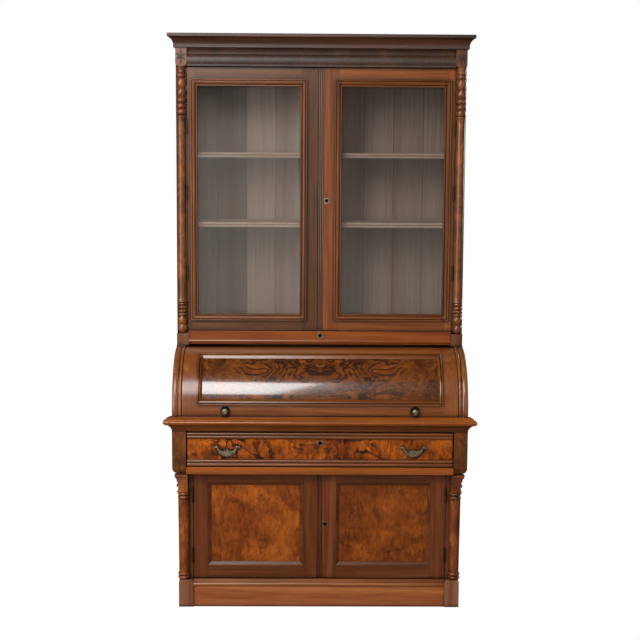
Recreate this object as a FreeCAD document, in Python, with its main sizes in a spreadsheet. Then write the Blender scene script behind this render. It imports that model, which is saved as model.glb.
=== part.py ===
"""Secretary bookcase: cupboard base, long drawer, cylinder-fall desk and glazed bookcase above.

Frame: X to the right, Y to the back, Z up, millimetres, origin on the floor under the middle.
"""
import FreeCAD
import Part
import math
import os
import Sketcher
from types import SimpleNamespace
from FreeCAD import Rotation, Vector

SIZES = {
    # Outer case
    "case_width": 1130,
    "case_depth": 550,
    "ledge_overhang": 32,
    "board_thickness": 22,
    "back_thickness": 12,
    "slide_gap": 0.3,
    # Heights of the storeys, from the floor up
    "plinth_height": 81,
    "plinth_moulding_height": 27,
    "cupboard_height": 423,
    "drawer_rail_height": 28,
    "drawer_bay_height": 139,
    "cove_height": 30,
    "slide_thickness": 28,
    "axis_rise": 14,
    "roll_radius": 226,
    "lid_headroom": 4,
    "header_height": 52,
    "door_bay_height": 1032,
    "frieze_height": 71,
    "cornice_height": 53,
    # Base storey
    "base_inset": 21,
    "base_setback": 45,
    "base_stile_width": 54,
    "plinth_block_width": 56,
    "plinth_block_depth": 24,
    "plinth_proud": 19,
    "plinth_bead": 3,
    "plinth_block_round": 10,
    "base_column_inset": 19,
    "base_shaft_radius": 21.5,
    "base_shaft_taper": 2.5,
    "base_ring_radius": 23,
    "base_ring_height": 14,
    "base_ring_groove": 5,
    "capital_height": 77,
    "capital_width": 42,
    "capital_inset": 17,
    "capital_step": 8,
    "capital_neck": 6,
    "abacus_height": 10,
    "abacus_lip": 3,
    "band_height": 9,
    "band_lip": 2,
    "low_band_rise": 22,
    "high_band_rise": 42,
    "cupboard_floor_thickness": 20,
    "cupboard_shelf_rise": 192,
    "cupboard_shelf_setback": 51,
    "cleat_size": 18,
    # Drawer storey
    "block_width": 53,
    "block_round": 25,
    "drawer_rail_setback": 2,
    "drawer_gap": 4,
    "drawer_top_gap": 5,
    "drawer_foot_gap": 2,
    "drawer_setback": 8,
    "drawer_moulding_depth": 6,
    "drawer_low_moulding": 27,
    "drawer_high_moulding": 24,
    "drawer_side_inset": 8,
    "drawer_side_thickness": 12,
    "drawer_side_height": 110,
    "drawer_rear_gap": 64,
    "drawer_bottom_rise": 8,
    "drawer_bottom_thickness": 8,
    "runner_width": 40,
    "runner_height": 18,
    "guide_height": 30,
    "guide_gap": 3,
    "desk_side_thickness": 36,
    # Drawer pulls
    "pull_inset": 152,
    "pull_post_span": 94,
    "pull_height": 77,
    "pull_post_radius": 4,
    "pull_post_length": 13,
    "pull_pin_radius": 2,
    "pull_pin_length": 12,
    "pull_pin_reach": 8,
    "pin_clearance": 0.05,
    "bail_drop": 36,
    "bail_thickness": 4,
    "bail_eye_radius": 4.5,
    "bail_eye_length": 6,
    "bail_eye_gap": 2,
    "bail_arm": 6,
    "bail_hollow": 15,
    "bail_hollow_spread": 20,
    "bail_peak": 5,
    # Ledge and writing slide
    "bed_thickness": 18,
    "cove_depth": 24,
    "nose_rise": 8,
    "nose_undercut": 6,
    "nose_slope": 28,
    "nose_bead": 6,
    "nose_step": 3,
    "ledge_return": 45,
    "ledge_end_width": 53.5,
    "slide_side_gap": 0.5,
    "slide_depth": 236,
    "tongue_length": 45,
    "tongue_width": 5,
    "tongue_height": 7.4,
    "tongue_rise": 10.3,
    "groove_clearance": 0.5,
    "slide_travel": 155,
    # Desk storey and cylinder lid
    "bead_depth": 12,
    "bead_foot_gap": 0.2,
    "inner_bead_width": 12,
    "bead_quirk": 2.5,
    "lid_recess": 6,
    "lid_thickness": 20,
    "lid_side_gap": 2,
    "lid_foot_gap": 0.7,
    "lid_top_angle": 97,
    "lid_stile_width": 57,
    "lid_moulding_width": 19,
    "lid_opening_low": 7.2,
    "lid_opening_high": 68.7,
    "lid_moulding_angle": 6.6,
    "lid_moulding_quirk": 5,
    "lid_panel_sink": 4,
    "lid_panel_thickness": 12,
    "arm_thickness": 8,
    "arm_inset": 5,
    "arm_hub_radius": 12,
    "arm_low_angle": 8,
    "arm_high_angle": 78,
    "arm_bar": 16,
    "pivot_radius": 5,
    "pivot_length": 15,
    "knob_inset": 165,
    "knob_height": 21,
    "knob_radius": 13.5,
    "knob_length": 27,
    "rosette_radius": 18,
    "rosette_thickness": 4,
    # Pigeonhole nest
    "nest_side_gap": 6.5,
    "nest_depth": 150,
    "nest_gap": 10,
    "nest_height": 162,
    "nest_board": 8,
    "letter_bay_width": 205,
    "letter_drawer_height": 54,
    "letter_wall": 5,
    "letter_gap": 0.6,
    "letter_knob_radius": 6,
    "letter_knob_length": 14,
    # Bookcase storey
    "book_offset": 19,
    "column_projection": 20,
    "book_stile_width": 41,
    "book_stile_thickness": 20,
    "foot_block_width": 47,
    "foot_block_height": 47,
    "capital_block_width": 44,
    "capital_block_round": 12,
    "book_shaft_radius": 17.5,
    "book_ring_radius": 20.5,
    "book_ring_groove": 5,
    "foot_ring_1": 34,
    "foot_ring_2": 34,
    "foot_ring_3": 13,
    "foot_ring_4": 14,
    "foot_ring_5": 15,
    "foot_ring_6": 13,
    "head_ring_1": 25,
    "head_ring_2": 22,
    "head_ring_3": 22,
    "head_ring_4": 34,
    "head_ring_5": 40,
    "head_ring_6": 20,
    "ring_bell": 20,
    "head_neck": 25,
    "header_setback": 4,
    "header_bead": 16,
    "header_bead_rise": 3,
    "book_floor_thickness": 20,
    "book_top_thickness": 20,
    "shelf_thickness": 20,
    "shelf_setback": 60,
    "shelf_end_gap": 1,
    "shelf_bead": 3,
    "low_shelf_rise": 427,
    "high_shelf_rise": 701,
    "back_board_chamfer": 1.5,
    "frieze_proud": 18,
    "cornice_overhang": 29,
    "cornice_fillet": 12,
    # Glazed doors
    "door_gap": 2,
    "door_thickness": 22,
    "door_foot_gap": 1,
    "door_head_gap": 3,
    "centre_gap": 11.5,
    "strip_gap": 2,
    "strip_recess": 2,
    "hinge_stile_width": 33,
    "meeting_stile_width": 62.5,
    "door_low_rail": 59.5,
    "door_high_rail": 64.5,
    "glass_moulding_width": 27,
    "glass_moulding_lip": 7,
    "glass_moulding_fillet": 5,
    "glass_moulding_slope": 8,
    "glass_moulding_bead": 5,
    "quirk_width": 2.5,
    "glass_moulding_set": 5,
    "quirk_depth": 4,
    "glass_moulding_proud": 9,
    "glass_moulding_depth": 7,
    "glass_thickness": 3,
    "glass_edge_gap": 0.3,
    # Cupboard doors
    "cupboard_foot_gap": 2,
    "cupboard_head_gap": 2,
    "cupboard_centre_gap": 9.5,
    "cupboard_hinge_stile": 56.5,
    "cupboard_meeting_stile": 54.5,
    "cupboard_low_rail": 50,
    "cupboard_high_rail": 39,
    "panel_moulding_width": 13,
    "panel_moulding_flat": 2,
    "panel_moulding_set": 1,
    "panel_sink": 10,
    "panel_thickness": 8,
    # Hinges and locks
    "knuckle_radius": 2.8,
    "hinge_pin_radius": 1.5,
    "hinge_height": 60,
    "hinge_offset": 3,
    "leaf_thickness": 0.9,
    "leaf_width": 17,
    "leaf_relief": 3.2,
    "knuckle_gap": 0.2,
    "hinge_inset": 200,
    "escutcheon_radius": 11.5,
    "escutcheon_thickness": 1.2,
    "lock_width": 44,
    "lock_height": 60,
    "lock_thickness": 10,
}

BASE_RINGS = 2
BOOK_RINGS = 6
BACK_BOARDS = 9

doc = FreeCAD.newDocument("secretary_bookcase")
sheet = doc.addObject("Spreadsheet::Sheet", "sizes")
for row, (alias, number) in enumerate(SIZES.items(), start=1):
    sheet.set(f"A{row}", alias)
    sheet.set(f"B{row}", str(number))
    sheet.setAlias(f"B{row}", alias)
doc.recompute()


class Formula:
    """Arithmetic on cells of the sheet, kept as the text of an expression."""

    def __init__(self, text):
        self.text = str(text)

    def __str__(self):
        return self.text

    def __add__(self, other):
        return Formula(f"({self} + {other})")

    def __sub__(self, other):
        return Formula(f"({self} - {other})")

    def __rsub__(self, other):
        return Formula(f"({other} - {self})")

    def __mul__(self, other):
        return Formula(f"({self} * {other})")

    def __truediv__(self, other):
        return Formula(f"({self} / {other})")

    def __neg__(self):
        return Formula(f"(0 - {self})")


def sine(angle):
    return Formula(f"sin({angle} * 1 deg)")


def cosine(angle):
    return Formula(f"cos({angle} * 1 deg)")


def angle_of_sine(ratio):
    return Formula(f"(asin({ratio}) / 1 deg)")


def value(formula):
    return float(sheet.evalExpression(str(formula)))


size = SimpleNamespace(**{alias: Formula(f"sizes.{alias}") for alias in SIZES})
zero = Formula("0")
nodes = []


def keep(piece, label):
    """Give a finished sub-part its own name."""
    piece.Label = label
    nodes.append(piece)
    return piece


def place(piece, x=zero, y=zero, z=zero):
    for axis, formula in (("x", x), ("y", y), ("z", z)):
        piece.setExpression(f"Placement.Base.{axis}", str(formula))


def span(side, near, far):
    """The stretch from near to far, measured out from the middle on one side."""
    if side == "right":
        return near, far
    return -far, -near


def box(name, x, y, z):
    piece = doc.addObject("Part::Box", name)
    piece.setExpression("Length", str(x[1] - x[0]))
    piece.setExpression("Width", str(y[1] - y[0]))
    piece.setExpression("Height", str(z[1] - z[0]))
    place(piece, x[0], y[0], z[0])
    return piece


def cylinder(name, radius, length, at, along):
    """A rod that starts at a point and runs along X, back along Y, or up."""
    piece = doc.addObject("Part::Cylinder", name)
    piece.setExpression("Radius", str(radius))
    piece.setExpression("Height", str(length))
    turn = {"x": Rotation(Vector(0, 1, 0), 90), "y": Rotation(Vector(1, 0, 0), -90), "z": Rotation()}
    piece.Placement.Rotation = turn[along]
    place(piece, *at)
    return piece


def frustum(name, x, z, y_front, y_back, grow):
    """A block between two depths whose front face is larger all round than its back face."""
    piece = doc.addObject("Part::Wedge", name)
    for cell, formula in (("Xmin", x[0] - grow), ("Xmax", x[1] + grow), ("X2min", x[0]), ("X2max", x[1]),
                          ("Zmin", z[0] - grow), ("Zmax", z[1] + grow), ("Z2min", z[0]), ("Z2max", z[1]),
                          ("Ymin", y_front), ("Ymax", y_back)):
        piece.setExpression(cell, str(formula))
    return piece


def joined(name, pieces):
    piece = doc.addObject("Part::MultiFuse", name)
    piece.Shapes = pieces
    return piece


def cut(name, base, tool):
    piece = doc.addObject("Part::Cut", name)
    piece.Base = base
    piece.Tool = tool
    return piece


def group(name, pieces):
    """Separate solids that are named together."""
    piece = doc.addObject("Part::Compound", name)
    piece.Links = pieces
    return piece


def mirrored(name, source):
    piece = doc.addObject("Part::Mirroring", name)
    piece.Source = source
    piece.Normal = Vector(1, 0, 0)
    return piece


def draw(sketch, points):
    """Close an outline through points; a radius and a turn in a point make the stretch up to it an arc."""
    spots = [Vector(value(point[0]), value(point[1]), 0) for point in points]
    stretches = []
    for index, point in enumerate(points):
        start, end = spots[index - 1], spots[index]
        if len(point) == 2:
            edge = sketch.addGeometry(Part.LineSegment(start, end), False)
            stretches.append((edge, 1, 2))
            continue
        radius = value(point[2])
        chord = end - start
        reach = math.sqrt(max(radius ** 2 - chord.Length ** 2 / 4, 0))
        to_left = point[3] == "left"
        offset = Vector(-chord.y, chord.x, 0).normalize() * (reach if to_left else -reach)
        centre = (start + end) / 2 + offset
        first, last = (start, end) if to_left else (end, start)
        angles = [math.atan2(spot.y - centre.y, spot.x - centre.x) for spot in (first, last)]
        circle = Part.Circle(centre, Vector(0, 0, 1), radius)
        edge = sketch.addGeometry(Part.ArcOfCircle(circle, *angles), False)
        stretches.append((edge, 1, 2) if to_left else (edge, 2, 1))
    for index, point in enumerate(points):
        edge, _, tail = stretches[index]
        following, head, _ = stretches[(index + 1) % len(points)]
        sketch.addConstraint(Sketcher.Constraint("Coincident", edge, tail, following, head))
        rules = [("across", "DistanceX", point[0]), ("up", "DistanceY", point[1])]
        for word, kind, formula in rules:
            rule = Sketcher.Constraint(kind, -1, 1, edge, tail, value(formula))
            name = f"{word}_{edge}"
            sketch.renameConstraint(sketch.addConstraint(rule), name)
            sketch.setExpression(f"Constraints.{name}", str(formula))
        if len(point) == 4:
            name = f"round_{edge}"
            rule = Sketcher.Constraint("Radius", edge, value(point[2]))
            sketch.renameConstraint(sketch.addConstraint(rule), name)
            sketch.setExpression(f"Constraints.{name}", str(point[2]))


def sketched(name, plane, loops):
    """A body with one sketch on one of its own planes."""
    body = doc.addObject("PartDesign::Body", name)
    sketch = body.newObject("Sketcher::SketchObject", f"{name}_outline")
    support = [part for part in body.Origin.OriginFeatures if part.Role == f"{plane}_Plane"]
    sketch.AttachmentSupport = [(support[0], "")]
    sketch.MapMode = "FlatFace"
    for points in loops:
        draw(sketch, points)
    return body, sketch


def prism(name, plane, low, high, *loops):
    """An outline pushed from one height, depth or width to another."""
    body, sketch = sketched(name, plane, loops)
    pad = body.newObject("PartDesign::Pad", f"{name}_pad")
    pad.Profile = sketch
    pad.setExpression("Length", str(high - low))
    start = {"XY": ("z", low), "YZ": ("x", low), "XZ": ("y", high)}[plane]
    place(body, **{start[0]: start[1]})
    return body


def turned(name, points, at, sweep=360, tilt=0):
    """An outline of radius and height turned about an upright axis, or tilted to point forward."""
    body, sketch = sketched(name, "XZ", [points])
    turning = body.newObject("PartDesign::Revolution", f"{name}_turning")
    turning.Profile = sketch
    turning.ReferenceAxis = (sketch, ["V_Axis"])
    turning.Angle = sweep
    turning.Reversed = True
    body.Placement.Rotation = Rotation(Vector(1, 0, 0), tilt)
    place(body, *at)
    return body


def rolled(name, points, low_angle, high_angle):
    """An outline of width and radius swept round the lid's axis, from the front upwards."""
    body, sketch = sketched(name, "XZ", [points])
    turning = body.newObject("PartDesign::Revolution", f"{name}_turning")
    turning.Profile = sketch
    turning.ReferenceAxis = (sketch, ["H_Axis"])
    turning.setExpression("Angle", str(high_angle - low_angle))
    turning.Reversed = True
    body.Placement.Rotation = Rotation(Vector(1, 0, 0), 90 - value(low_angle))
    body.setExpression("Placement.Rotation.Angle", str(90 - low_angle))
    place(body, zero, axis_y, axis_z)
    return body


def polar(angle, radius):
    """A point of the YZ plane at an angle up from the front, seen from the lid's axis."""
    return axis_y - cosine(angle) * radius, axis_z + sine(angle) * radius


def rectangle(across, up):
    return [(across[0], up[0]), (across[1], up[0]), (across[1], up[1]), (across[0], up[1])]


def crossed(name, width_outline, depth_outline, x_far, y_ends):
    """A moulding that returns round the corners: the meeting of a run across and a run back."""
    across = prism(f"{name}_across", "YZ", -x_far, x_far, depth_outline)
    along = prism(f"{name}_along", "XZ", y_ends[0], y_ends[1], width_outline)
    piece = doc.addObject("Part::Common", name)
    piece.Base = across
    piece.Tool = along
    return piece


# Planes that several pieces share, worked out from the sizes
half = size.case_width / 2
back = (size.case_depth + size.ledge_overhang) / 2
front = back - size.case_depth
tip = front - size.ledge_overhang
back_face = back - size.back_thickness

plinth_top = size.plinth_height + size.plinth_moulding_height
rail_z = plinth_top + size.cupboard_height
drawer_z = rail_z + size.drawer_rail_height
cove_z = drawer_z + size.drawer_bay_height
ledge_z = cove_z + size.cove_height
bed_z = ledge_z - size.bed_thickness
desk_z = ledge_z + size.slide_thickness
axis_z = desk_z + size.axis_rise
roll_top = axis_z + size.roll_radius
header_z = roll_top + size.lid_headroom
door_z = header_z + size.header_height
frieze_z = door_z + size.door_bay_height
cornice_z = frieze_z + size.frieze_height
top_z = cornice_z + size.cornice_height

base_half = half - size.base_inset
base_face = front + size.base_setback
base_inner = base_face + size.board_thickness
base_side_inner = base_half - size.board_thickness
base_stile_edge = base_half - size.base_stile_width
desk_inner = half - size.desk_side_thickness
block_inner = half - size.block_width
axis_y = front + size.roll_radius
book_front = axis_y + size.book_offset
book_face = book_front + size.column_projection
book_inner = book_face + size.book_stile_thickness
book_side_inner = half - size.board_thickness
book_stile_edge = half - size.book_stile_width
foot_block_edge = half - size.foot_block_width
capital_edge = half - size.capital_block_width
SIDES = ("left", "right")

# Plinth: a front board between two corner blocks, with a beaded moulding on top
plinth_face = base_face - size.plinth_proud
plinth_edge = base_half - size.plinth_block_width
keep(box("plinth_front", (-plinth_edge, plinth_edge), (plinth_face, plinth_face + size.board_thickness),
         (zero, size.plinth_height)), "plinth_board")
bead_top = size.plinth_height + size.plinth_moulding_height * 0.6
keep(prism("plinth_cap", "YZ", -plinth_edge, plinth_edge, [
    (base_inner, size.plinth_height),
    (base_inner, plinth_top),
    (plinth_face + size.plinth_bead * 2, plinth_top),
    (plinth_face + size.plinth_bead, bead_top),
    (plinth_face, bead_top),
    (plinth_face, size.plinth_height, size.plinth_moulding_height * 0.32, "left"),
]), "plinth_moulding")
block_front = base_face - size.plinth_block_depth
shoulder = size.plinth_block_round
plinth_blocks = []
for side in SIDES:
    x_low, x_high = span(side, plinth_edge, base_half)
    plinth_blocks.append(prism(f"plinth_block_{side}", "XZ", block_front, base_face, [
        (x_low, zero),
        (x_high, zero),
        (x_high, plinth_top - shoulder),
        (x_high - shoulder, plinth_top, shoulder, "left"),
        (x_low + shoulder, plinth_top),
        (x_low, plinth_top - shoulder, shoulder, "left"),
    ]))
keep(group("plinth_corners", plinth_blocks), "plinth_blocks")


# Columns: turned in the half round, with rings near both ends
def ring_stack(low, heights, radius, groove):
    """Points up one stack of rings, each a shallow arc between two grooves, and the height reached."""
    points = [(radius - groove, low)]
    for height in heights:
        bulge = (height * height / 4 + groove * groove) / (groove * 2)
        low = low + height
        points.append((radius - groove, low, bulge, "left"))
    return points, low


base_axis_x = base_half - size.base_column_inset
capital_z = rail_z - size.capital_height
abacus_z = rail_z - size.capital_neck - size.abacus_height
neck_z = rail_z - size.capital_neck
capital_front = base_face - size.base_shaft_radius
base_rings = [size.base_ring_height] * BASE_RINGS
base_stack = size.base_ring_height * BASE_RINGS
low_shaft = size.base_shaft_radius - size.base_shaft_taper
base_columns = []
for side in SIDES:
    axis_x = base_axis_x if side == "right" else -base_axis_x
    low_rings, shaft_low = ring_stack(plinth_top, base_rings, size.base_ring_radius, size.base_ring_groove)
    high_rings, _ = ring_stack(capital_z - base_stack, base_rings, size.base_ring_radius, size.base_ring_groove)
    shaft = turned(f"base_shaft_{side}", [
        (zero, plinth_top),
        *low_rings,
        (low_shaft, shaft_low),
        (size.base_shaft_radius, capital_z - base_stack),
        *high_rings,
        (zero, capital_z),
    ], (axis_x, base_face, zero), sweep=180)
    sign = 1 if side == "right" else -1
    near = (base_axis_x - size.capital_inset) * sign
    far = near + size.capital_width * sign
    lip = far + size.capital_step * sign
    bracket = prism(f"base_bracket_{side}", "XZ", capital_front, base_face, [
        (near, capital_z),
        (far, capital_z),
        (lip, abacus_z, size.capital_height * 0.7, "right" if side == "right" else "left"),
        (lip, neck_z),
        (near, neck_z),
    ])
    abacus = box(f"base_abacus_{side}", span(side, base_axis_x - size.capital_inset, lip * sign),
                 (capital_front - size.abacus_lip, base_face), (abacus_z, neck_z))
    neck = box(f"base_neck_{side}", span(side, base_axis_x - size.capital_inset + size.abacus_lip, far * sign),
               (capital_front + size.abacus_lip, base_face), (neck_z, rail_z))
    bands = []
    for level, rise in (("low", size.low_band_rise), ("high", size.high_band_rise)):
        bands.append(box(f"base_{level}_band_{side}", span(side, base_axis_x - size.capital_inset, far * sign),
                         (capital_front - size.band_lip, base_face),
                         (capital_z + rise, capital_z + rise + size.band_height)))
    base_columns.append(joined(f"base_column_{side}", [shaft, bracket, abacus, neck, *bands]))
keep(group("base_column_pair", base_columns), "base_columns")

# Sides of the base with their front stiles, and the sides of the drawer storey on top of them
for side in SIDES:
    stile = box(f"base_stile_{side}", span(side, base_stile_edge, base_half), (base_face, base_inner),
                (zero, rail_z))
    board = box(f"base_board_{side}", span(side, base_side_inner, base_half), (base_inner, back),
                (zero, rail_z))
    drawer_side = box(f"drawer_case_{side}", span(side, desk_inner, half), (base_inner, back), (rail_z, bed_z))
    keep(group(f"base_flank_{side}", [stile, board, drawer_side]), f"base_side_{side}")

# Inside of the base: floor and shelf of the cupboard, and the back of both storeys
cupboard_floor = box("cupboard_floor", (-base_side_inner, base_side_inner), (base_inner, back_face),
                     (plinth_top - size.cupboard_floor_thickness, plinth_top))
cupboard_shelf_z = plinth_top + size.cupboard_shelf_rise
cupboard_shelf_front = base_inner + size.cupboard_shelf_setback
cupboard_shelf = box("cupboard_shelf", (-base_side_inner, base_side_inner), (cupboard_shelf_front, back_face),
                     (cupboard_shelf_z, cupboard_shelf_z + size.shelf_thickness))
keep(group("cupboard_board_set", [cupboard_floor, cupboard_shelf]), "cupboard_boards")
slide_edge = half - size.ledge_end_width
lower_back = prism("lower_back", "XZ", back_face, back, [
    (-base_side_inner, zero),
    (base_side_inner, zero),
    (base_side_inner, rail_z),
    (desk_inner, rail_z),
    (desk_inner, bed_z),
    (-desk_inner, bed_z),
    (-desk_inner, rail_z),
    (-base_side_inner, rail_z),
])
desk_back = prism("desk_back", "XZ", back_face, back, [
    (-slide_edge, ledge_z),
    (slide_edge, ledge_z),
    (slide_edge, desk_z),
    (desk_inner, desk_z),
    (desk_inner, roll_top),
    (-desk_inner, roll_top),
    (-desk_inner, desk_z),
    (-slide_edge, desk_z),
])
keep(group("back_panels", [lower_back, desk_back]), "case_back")

# Drawer storey: rail, corner blocks rounded in at the foot, runners with side guides
keep(box("drawer_blade", (-block_inner, block_inner), (front + size.drawer_rail_setback, base_inner),
         (rail_z, drawer_z)), "drawer_rail")
curve = size.block_round
drawer_blocks = []
for side in SIDES:
    outer = half if side == "right" else -half
    inner = block_inner if side == "right" else -block_inner
    inward = -curve if side == "right" else curve
    turn = "left" if side == "right" else "right"
    drawer_blocks.append(crossed(f"drawer_block_{side}", [
        (inner, rail_z),
        (outer + inward, rail_z),
        (outer, rail_z + curve, curve, turn),
        (outer, bed_z),
        (inner, bed_z),
    ], [
        (base_inner, rail_z),
        (base_inner, bed_z),
        (front, bed_z),
        (front, rail_z + curve),
        (front + curve, rail_z, curve, "left"),
    ], half, (front, base_inner)))
keep(group("drawer_corners", drawer_blocks), "drawer_blocks")

drawer_half = block_inner - size.drawer_gap
runner_edge = desk_inner - size.runner_width
guide_edge = drawer_half + size.guide_gap
runners = []
for side in SIDES:
    outer = desk_inner if side == "right" else -desk_inner
    inner = runner_edge if side == "right" else -runner_edge
    guide = guide_edge if side == "right" else -guide_edge
    runners.append(prism(f"drawer_runner_{side}", "XZ", base_inner, back_face, [
        (inner, drawer_z - size.runner_height),
        (outer, drawer_z - size.runner_height),
        (outer, drawer_z + size.guide_height),
        (guide, drawer_z + size.guide_height),
        (guide, drawer_z),
        (inner, drawer_z),
    ]))
keep(group("drawer_runner_pair", runners), "drawer_runners")

# Long drawer: front board with a beaded moulding along its top and foot, and a plain box behind
drawer_face = front + size.drawer_setback
drawer_back = drawer_face + size.board_thickness
drawer_low = drawer_z + size.drawer_foot_gap
drawer_high = cove_z - size.drawer_top_gap


def beaded_strip(name, low, high):
    """A strip with two half-round beads on its face."""
    face = drawer_face - size.drawer_moulding_depth
    groove = face + size.drawer_moulding_depth / 2
    middle = (low + high) / 2
    round_off = (high - low) * 0.3
    return prism(name, "YZ", -drawer_half, drawer_half, [
        (drawer_face, low),
        (drawer_face, high),
        (groove, high),
        (groove, middle, round_off, "left"),
        (groove, low, round_off, "left"),
    ])


keep(box("drawer_board", (-drawer_half, drawer_half), (drawer_face, drawer_back), (drawer_low, drawer_high)),
     "drawer_front")
low_strip = beaded_strip("drawer_low_strip", drawer_low, drawer_low + size.drawer_low_moulding)
high_strip = beaded_strip("drawer_high_strip", drawer_high - size.drawer_high_moulding, drawer_high)
keep(group("drawer_strips", [low_strip, high_strip]), "drawer_moulding")

box_half = drawer_half - size.drawer_side_inset
box_inner = box_half - size.drawer_side_thickness
box_end = back_face - size.drawer_rear_gap
box_low = drawer_z + size.slide_gap
box_high = box_low + size.drawer_side_height
box_floor = box_low + size.drawer_bottom_rise
drawer_boards = [
    box(f"drawer_wall_{side}", span(side, box_inner, box_half), (drawer_back, box_end), (box_low, box_high))
    for side in SIDES
]
drawer_boards.append(box("drawer_end", (-box_inner, box_inner), (box_end - size.drawer_side_thickness, box_end),
                         (box_floor, box_high)))
drawer_boards.append(box("drawer_floor", (-box_inner, box_inner),
                         (drawer_back, box_end - size.drawer_side_thickness),
                         (box_floor, box_floor + size.drawer_bottom_thickness)))
keep(group("drawer_box_set", drawer_boards), "drawer_box")


# Locks: a brass escutcheon in front of a small lock case
def escutcheon(name, x, face, z):
    return cylinder(name, size.escutcheon_radius, size.escutcheon_thickness,
                    (x, face - size.escutcheon_thickness, z), "y")


def lock_case(name, x, behind, z):
    return box(name, (x - size.lock_width / 2, x + size.lock_width / 2), (behind, behind + size.lock_thickness), z)


# Drop pulls: two posts with short pins, and a half-moon bail that swings on them
pull_z = drawer_z + size.pull_height + size.drawer_foot_gap
pull_y = drawer_face - size.pull_pin_reach
post_half = size.pull_post_span / 2
fittings = []
for side in SIDES:
    middle = drawer_half - size.pull_inset if side == "right" else size.pull_inset - drawer_half
    for end in SIDES:
        sign = 1 if end == "right" else -1
        post_x = middle + post_half * sign
        post = cylinder(f"pull_post_{side}_{end}", size.pull_post_radius, size.pull_post_length,
                        (post_x, drawer_face - size.pull_post_length, pull_z), "y")
        pin_start = post_x - size.pull_pin_length if end == "right" else post_x
        pin = cylinder(f"pull_pin_{side}_{end}", size.pull_pin_radius, size.pull_pin_length,
                       (pin_start, pull_y, pull_z), "x")
        fittings.append(joined(f"pull_stud_{side}_{end}", [post, pin]))
    eye_far = post_half - size.pull_post_radius - size.bail_eye_gap / 2
    eye_near = eye_far - size.bail_eye_length
    bail_low = pull_z - size.bail_drop
    plate_half = eye_near + size.bail_eye_length / 2
    outer_radius = (plate_half * plate_half + size.bail_drop * size.bail_drop) / (size.bail_drop * 2)
    arm_x = plate_half - size.bail_arm
    plate = prism(f"bail_plate_{side}", "XZ", pull_y - size.bail_thickness / 2, pull_y + size.bail_thickness / 2, [
        (middle + plate_half, pull_z, outer_radius, "left"),
        (middle + arm_x, pull_z),
        (middle + size.bail_hollow_spread, pull_z - size.bail_hollow, size.bail_hollow * 1.2, "right"),
        (middle, pull_z - size.bail_peak, size.bail_hollow_spread, "right"),
        (middle - size.bail_hollow_spread, pull_z - size.bail_hollow, size.bail_hollow_spread, "right"),
        (middle - arm_x, pull_z, size.bail_hollow * 1.2, "right"),
        (middle - plate_half, pull_z),
    ])
    eyes = [plate]
    bores = []
    for end in SIDES:
        eye_x = middle + eye_near if end == "right" else middle - eye_far
        eyes.append(cylinder(f"bail_eye_{side}_{end}", size.bail_eye_radius, size.bail_eye_length,
                             (eye_x, pull_y, pull_z), "x"))
        bores.append(cylinder(f"bail_bore_{side}_{end}", size.pull_pin_radius + size.pin_clearance,
                              size.bail_eye_length + size.bail_eye_gap * 2,
                              (eye_x - size.bail_eye_gap, pull_y, pull_z), "x"))
    keep(cut(f"bail_{side}", joined(f"bail_cast_{side}", eyes), joined(f"bail_bores_{side}", bores)),
         f"pull_bail_{side}")
lock_z = drawer_high - size.drawer_high_moulding - size.escutcheon_radius * 1.4
fittings.append(escutcheon("drawer_escutcheon", zero, drawer_face, lock_z))
fittings.append(lock_case("drawer_lock_case", zero, drawer_back, (drawer_high - size.lock_height, drawer_high)))
keep(group("drawer_fitting_set", fittings), "drawer_fittings")

# Slide bed and the moulded ledge on it: cove below, nosed ends above, both with short returns at the sides
keep(box("slide_bed_board", (-half, half), (front, back), (bed_z, ledge_z)), "slide_bed")
cove_half = half + size.cove_depth
cove_front = front - size.cove_depth
cove_curve = size.cove_height * 1.1
cove_shape = crossed("cove_shape", [
    (-half, cove_z, cove_curve, "right"),
    (half, cove_z),
    (cove_half, ledge_z, cove_curve, "right"),
    (-cove_half, ledge_z),
], [
    (back, cove_z),
    (back, ledge_z),
    (cove_front, ledge_z),
    (front, cove_z, cove_curve, "right"),
], cove_half, (cove_front, back))
return_end = tip + size.ledge_return
cove_spaces = [box("cove_core", (-half, half), (front, back), (cove_z, ledge_z))]
for side in SIDES:
    cove_spaces.append(box(f"cove_return_{side}", span(side, half, cove_half), (return_end, back),
                           (cove_z, ledge_z)))
keep(cut("cove_run", cove_shape, joined("cove_space", cove_spaces)), "ledge_cove")

ledge_half = half + size.ledge_overhang
nose_z = ledge_z + size.nose_rise
bead_z = nose_z + size.nose_bead
nose_curve = size.nose_slope * 1.2


def nosing(outer):
    """Points down a nosed edge: a long round from the top, a step, and a bead."""
    return [
        (outer + size.nose_slope, desk_z),
        (outer + size.nose_step * 2, bead_z, nose_curve, "left"),
        (outer + size.nose_step, bead_z),
        (outer, nose_z, size.nose_bead, "left"),
    ]


ledge_shape = crossed("ledge_shape", [
    (-ledge_half + size.nose_undercut, ledge_z),
    (ledge_half - size.nose_undercut, ledge_z),
    (ledge_half, nose_z),
    (ledge_half - size.nose_step, bead_z, size.nose_bead, "left"),
    (ledge_half - size.nose_step * 2, bead_z),
    (ledge_half - size.nose_slope, desk_z, nose_curve, "left"),
    *nosing(-ledge_half),
], [
    (back, ledge_z),
    (back, desk_z),
    *nosing(tip),
    (tip + size.nose_undercut, ledge_z),
], ledge_half, (tip, back))
slide_back = tip + size.slide_depth
tongue_z = ledge_z + size.tongue_rise
groove_depth = slide_edge + size.tongue_width + size.groove_clearance
groove_front = slide_back - size.tongue_length - size.slide_travel - size.groove_clearance
slide_space = box("slide_space", (-slide_edge, slide_edge), (tip, back), (ledge_z, desk_z))
groove_space = box("groove_space", (-groove_depth, groove_depth),
                   (groove_front, slide_back + size.groove_clearance),
                   (tongue_z - size.groove_clearance, tongue_z + size.tongue_height + size.groove_clearance))
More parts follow.
